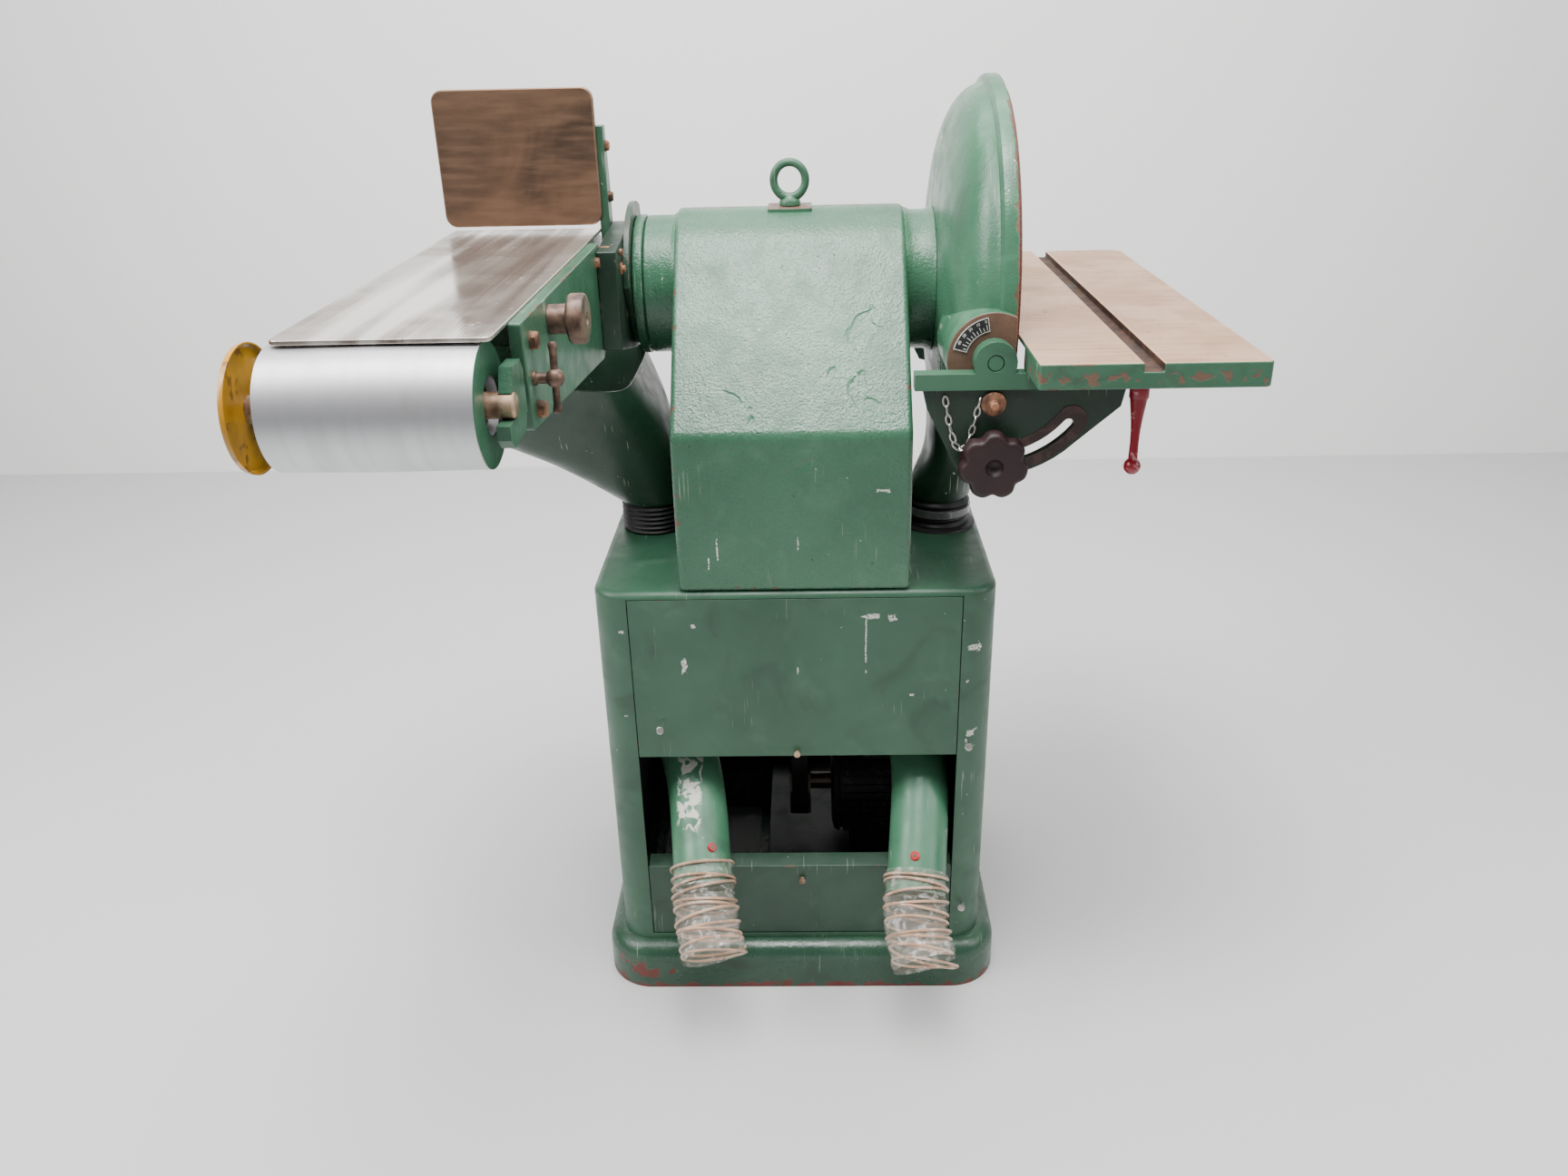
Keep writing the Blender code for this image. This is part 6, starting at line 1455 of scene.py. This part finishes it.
# ---------------------------------------------------------------- belt unit
def make_arm():
    finishes = {"arm_hub": ("arm_body", WEB_SHADE_AND_GRIME_GREEN), "side_plate": ("arm_side", CAST_GREEN),
                "backstop_bracket": ("fence_bracket", CAST_GREEN), "platen_bed": ("bed_casting", CAST_GREEN),
                "roller_fork": ("fork_casting", CAST_GREEN)}
    for node, (name, finish) in finishes.items():
        piece(name, eased(node_mesh(node), 0.0018, 3, 40), finish, node)
    piece("quadrant", eased(node_mesh("tilt_quadrant"), 0.001, 2, 40), HOOD_GREEN, "tilt_quadrant")
    piece("platen_sheet", eased(node_mesh("platen"), 0.0009, 2, 40), PLATEN_STEEL, "platen")
    piece("fence_plate", eased(node_mesh("backstop_plate"), 0.0018, 3, 40), BACKSTOP_STEEL, "backstop_plate")
    bolts = [((SIDE_RIGHT, SIDE_FRONT + 0.034, PLATEN_TOP - 0.026), (1, 0, 0)),
             ((SIDE_RIGHT, SIDE_FRONT + 0.039, PLATEN_TOP - 0.096), (1, 0, 0))]
    heads = fasteners(bolts, RUSTY, 0.0088, 0.008, 6, 0.0092)
    piece("slide_bolts", heads, RUSTY, ("slide_bolt_upper", "slide_bolt_lower"), "belt_arm")
    small = [((SIDE_RIGHT, -0.131, 1.074), (1, 0, 0)), ((SIDE_RIGHT, -0.111, 1.0005), (1, 0, 0)),
             ((SIDE_RIGHT, 0.018, 1.202), (1, 0, 0)), ((SIDE_RIGHT, 0.018, 1.137), (1, 0, 0))]
    piece("arm_bolts", fasteners(small, RUSTY, 0.0065, 0.0055, 6, 0.0075), RUSTY, (), "belt_arm")
    clamps = [eased(block((-0.2440, -0.118, 1.045), (-0.2225, -0.072, 1.066)), 0.002, 2),
              eased(block((-0.2440, -0.108, 1.072), (-0.2300, -0.080, 1.090)), 0.002, 2),
              rod((-0.2440, -0.092, 1.060), (-0.2140, -0.092, 1.060), 0.0042, sides=20),
              rod((-0.2440, -0.094, 1.081), (-0.2160, -0.094, 1.081), 0.0042, sides=20)]
    nuts = fasteners([((-0.2250, -0.092, 1.060), (1, 0, 0)), ((-0.2300, -0.094, 1.081), (1, 0, 0))], RUSTY, 0.0085,
                     0.007, 6, 0.010)
    piece("clamp_blocks", gathered(*clamps, nuts), RUSTY, (), "belt_arm")


def make_roller():
    bore = AXLE_RADIUS + 0.0003
    shell = [(DRUM_RIGHT - 0.010, bore), (DRUM_RIGHT - 0.010, 0.026), (DRUM_RIGHT - 0.0005, 0.027),
             (DRUM_RIGHT, 0.0275), (DRUM_RIGHT, ROLLER_RADIUS - 0.0035), (DRUM_RIGHT - 0.0012, ROLLER_RADIUS - 0.001),
             ((DRUM_LEFT + DRUM_RIGHT) / 2, ROLLER_RADIUS), (DRUM_LEFT + 0.0012, ROLLER_RADIUS - 0.001),
             (DRUM_LEFT, ROLLER_RADIUS - 0.0035), (DRUM_LEFT, bore)]
    item = piece("belt_roller", turned(shell, ROLLER, steps=128), ROLLER_ALUMINIUM, "front_roller")
    item.data.materials.append(CAST_GREEN)
    item.data.materials.append(RUSTY)
    for polygon in item.data.polygons:
        if abs(polygon.normal.x) > 0.9:
            flat = (Vector((0, polygon.center.y, polygon.center.z)) - ROLLER).length
            polygon.material_index = 1 if flat > 0.027 else 2
    centre = (DRUM_LEFT + DRUM_RIGHT) / 2
    drum = [(DRUM_RIGHT, 0.0203), (DRUM_RIGHT, DRUM_RADIUS - 0.003), (DRUM_RIGHT - 0.002, DRUM_RADIUS - 0.001),
            (centre, DRUM_RADIUS), (DRUM_LEFT + 0.002, DRUM_RADIUS - 0.001), (DRUM_LEFT, DRUM_RADIUS - 0.003),
            (DRUM_LEFT, 0.0203)]
    piece("drive_drum", turned(drum, SPINDLE, steps=128), ROLLER_ALUMINIUM, "rear_drum")
    left, right = DRUM_LEFT - GUARD_GAP - GUARD_DEPTH - 0.0015, SIDE_RIGHT
    axle = [(left, 0), (left, AXLE_RADIUS - 0.0015), (left + 0.0015, AXLE_RADIUS), (right - 0.0015, AXLE_RADIUS),
            (right, AXLE_RADIUS - 0.0015), (right, 0)]
    piece("roller_axle", turned(axle, ROLLER, steps=64), AXLE_RUST, "idler_axle")
    plate = DRUM_LEFT - GUARD_GAP - GUARD_DEPTH
    dish = [(plate + GUARD_DEPTH, GUARD_RADIUS - 0.0015), (plate + GUARD_DEPTH, GUARD_RADIUS),
            (plate + 0.003, GUARD_RADIUS), (plate + 0.0008, GUARD_RADIUS - 0.0010), (plate, GUARD_RADIUS - 0.003),
            (plate, AXLE_RADIUS + 0.0003), (plate + 0.0015, AXLE_RADIUS + 0.0003),
            (plate + 0.0015, GUARD_RADIUS - 0.0045), (plate + 0.0035, GUARD_RADIUS - 0.0020)]
    piece("guard_dish", turned(dish, ROLLER, steps=96), YELLOW, "end_guard")


def make_arm_controls():
    face = SIDE_RIGHT + 0.0003
    y, z = SIDE_FRONT + 0.028, ROLLER.z + 0.0035
    post = turned([(0, 0), (0, 0.0075), (0.003, 0.0075), (0.004, 0.0055), (0.020, 0.0055), (0.020, 0)],
                  (face, y, z), (1, 0, 0), 40)
    bar = []
    for k in range(25):
        t = k / 12 - 1
        bar.append((0.035 * t, 0.0037 + 0.0018 * max(0, abs(t) - 0.72) / 0.28 if abs(t) < 0.98 else 0.0030))
    arm = turned([(bar[0][0], 0)] + bar + [(bar[-1][0], 0)], (face + 0.021, y, z), (0, 0.08, 1), 24)
    piece("tee_handle", gathered(post, sphere((face + 0.021, y, z), 0.0095), arm), BROWN_KNOB, "lock_handle",
          smooth=45)
    y, z = SIDE_FRONT + 0.127, PLATEN_TOP - 0.026
    knob = [(0, 0), (0, 0.0155), (0.0185, 0.0155), (0.0192, 0.018), (0.0215, 0.0245), (0.0235, 0.026),
            (0.0360, 0.026), (0.0385, 0.0245), (0.0395, 0.0215), (0.0395, 0.007), (0.0375, 0.006), (0.0375, 0)]
    piece("round_knob", turned(knob, (face, y, z), (1, 0, 0), 72), BROWN_KNOB, "tracking_knob")


def make_hood():
    left, right = DRUM_LEFT - 0.010, CAP_END - SPIGOT_LENGTH + 0.012
    inner = HOSE_RADIUS - HOSE_WALL - 0.0006
    neck = [(HOSE_TOP - 0.014, -HOSE_X, HOSE_Y, inner, inner, 1.0),
            (HOSE_TOP + 0.0003, -HOSE_X, HOSE_Y, inner, inner, 1.0)]
    flare = [(HOSE_TOP + 0.004, -HOSE_X, HOSE_Y, HOSE_RADIUS - 0.001, HOSE_RADIUS - 0.001, 0.9),
             (HOSE_TOP + 0.075, -HOSE_X - 0.048, HOSE_Y, 0.092, 0.085, 0.6),
             (HOSE_TOP + 0.145, -HOSE_X - 0.118, HOSE_Y, 0.140, 0.125, 0.45),
             (HOSE_TOP + 0.200, (left + right) / 2, HOSE_Y, (right - left) / 2, 0.150, 0.35)]
    loops = [duct_ring(*station) for station in neck + eased_stations(flare)]
    for loop in loops[-7:]:
        share = (loop[0][2] - loops[-7][0][2]) / (loops[-1][0][2] - loops[-7][0][2])
        loop[:] = [(x, y, z + HOOD_RISE * share * (right - x) / (right - left)) for x, y, z in loop]
    piece("dust_hood", loft(loops, 0.003), HOOD_GREEN, "belt_hood", smooth=40)


def make_starter():
    piece("starter_case", eased(node_mesh("starter_box"), 0.003, 3, 40), MOTOR_GREY, "starter_box")
    for node, finish, slot in (("start_button", BUTTON_GREEN, "start_green"), ("stop_button", BUTTON_RED,
                                                                             "stop_red")):
        low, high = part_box(node)
        middle = (low + high) / 2
        deep = high.y - low.y
        cap = turned([(0, 0), (0, 0.014), (deep - 0.003, 0.014), (deep - 0.001, 0.0125), (deep, 0.010), (deep, 0)],
                     (middle.x, low.y, middle.z), (0, 1, 0), 48)
        piece(node + "_cap", cap, finish, node)


BAND_MAROON = moulded("band_maroon", (0.026, 0.0085, 0.008), 0.42, (0.055, 0.022, 0.017))

make_plinth()
make_cabinet()
make_dust_pipes()
make_upper_hoses()
make_motor()
make_head()
make_housing()
make_disc()
make_duct()
make_table()
make_index_pin()
make_degree_scale()
make_arm()
make_roller()
make_arm_controls()
make_hood()
make_starter()

KEPT = {"drive_belt": RUBBER, "spindle_shaft": DARK_STEEL, "spindle_pulley": DARK_STEEL, "motor_pulley": DARK_STEEL,
        "bearing_left": DARK_STEEL, "bearing_right": DARK_STEEL}
for node, finish in KEPT.items():
    mesh = frame["nodes"][node].data
    mesh.materials.clear()
    mesh.materials.append(finish)


# ---------------------------------------------------------------- room, lights and camera
def plain(name, colour, rough):
    finish = Finish(name)
    soft = finish.noise(2.0, 3.0)
    return finish.set(Base_Color=finish.mix(soft, colour, tuple(c * 0.97 for c in colour)), Roughness=rough)


def make_room():
    bm = bmesh.new()
    rim = [(-6.0, 5.0), (6.0, 5.0), (6.0, -6.0), (-6.0, -6.0)]
    bm.faces.new([bm.verts.new((x, y, -0.0005)) for x, y in rim])
    floor = bpy.data.objects.new("floor", mesh_of(bm))
    floor.data.materials.append(plain("pale_floor", (0.60, 0.61, 0.60), 0.55))
    bpy.context.scene.collection.objects.link(floor)
    bm = bmesh.new()
    bm.faces.new([bm.verts.new(p) for p in ((-6, 2.2, -0.001), (6, 2.2, -0.001), (6, 2.2, 4.0), (-6, 2.2, 4.0))])
    wall = bpy.data.objects.new("wall", mesh_of(bm))
    wall.data.materials.append(plain("pale_wall", (0.90, 0.90, 0.89), 0.8))
    bpy.context.scene.collection.objects.link(wall)


def area_light(name, place, target, size, power, colour=(1, 1, 1)):
    light = bpy.data.lights.new(name, "AREA")
    light.shape = "RECTANGLE"
    light.size, light.size_y = size
    light.energy = power
    light.color = colour
    item = bpy.data.objects.new(name, light)
    item.location = place
    item.rotation_euler = (Vector(target) - Vector(place)).to_track_quat("-Z", "Y").to_euler()
    bpy.context.scene.collection.objects.link(item)


def make_lights():
    area_light("ceiling_left", (-1.2, -0.6, 3.3), (-0.2, -0.1, 0.6), (1.1, 3.0), 92)
    area_light("ceiling_right", (1.2, -0.6, 3.3), (0.2, -0.1, 0.6), (1.1, 3.0), 74)
    area_light("ceiling_middle", (-0.05, -0.95, 3.3), (0.0, -0.2, 0.8), (1.0, 1.2), 80)
    area_light("ceiling_far", (0.0, 1.1, 3.3), (0.0, 0.2, 0.8), (3.2, 0.8), 45)
    area_light("left_side", (-2.7, -1.0, 2.6), (0, 0, 1.0), (1.6, 1.6), 66)
    area_light("right_side", (3.0, -1.0, 2.1), (0, 0, 0.9), (1.4, 1.4), 26)
    world = bpy.data.worlds.new("soft_room")
    world.use_nodes = True
    background = world.node_tree.nodes["Background"]
    background.inputs["Color"].default_value = (0.95, 0.96, 0.96, 1)
    background.inputs["Strength"].default_value = 0.30
    bpy.context.scene.world = world


def make_camera():
    camera = bpy.data.cameras.new("camera")
    camera.sensor_width = 36.0
    camera.lens = 27.66
    item = bpy.data.objects.new("camera", camera)
    yaw, pitch, roll = (math.radians(v) for v in (-1.5497, 24.903, -1.3448))
    ahead = Vector((math.sin(yaw), math.cos(yaw), 0))
    right = Vector((math.cos(yaw), -math.sin(yaw), 0))
    up = Vector((0, 0, 1))
    look = ahead * math.cos(pitch) - up * math.sin(pitch)
    raised = ahead * math.sin(pitch) + up * math.cos(pitch)
    side = right * math.cos(roll) + raised * math.sin(roll)
    crown = -right * math.sin(roll) + raised * math.cos(roll)
    item.matrix_world = Matrix((side, crown, -look)).transposed().to_4x4()
    item.location = (0.026, -1.688, 1.339)
    bpy.context.scene.collection.objects.link(item)
    bpy.context.scene.camera = item


make_room()
make_lights()
make_camera()
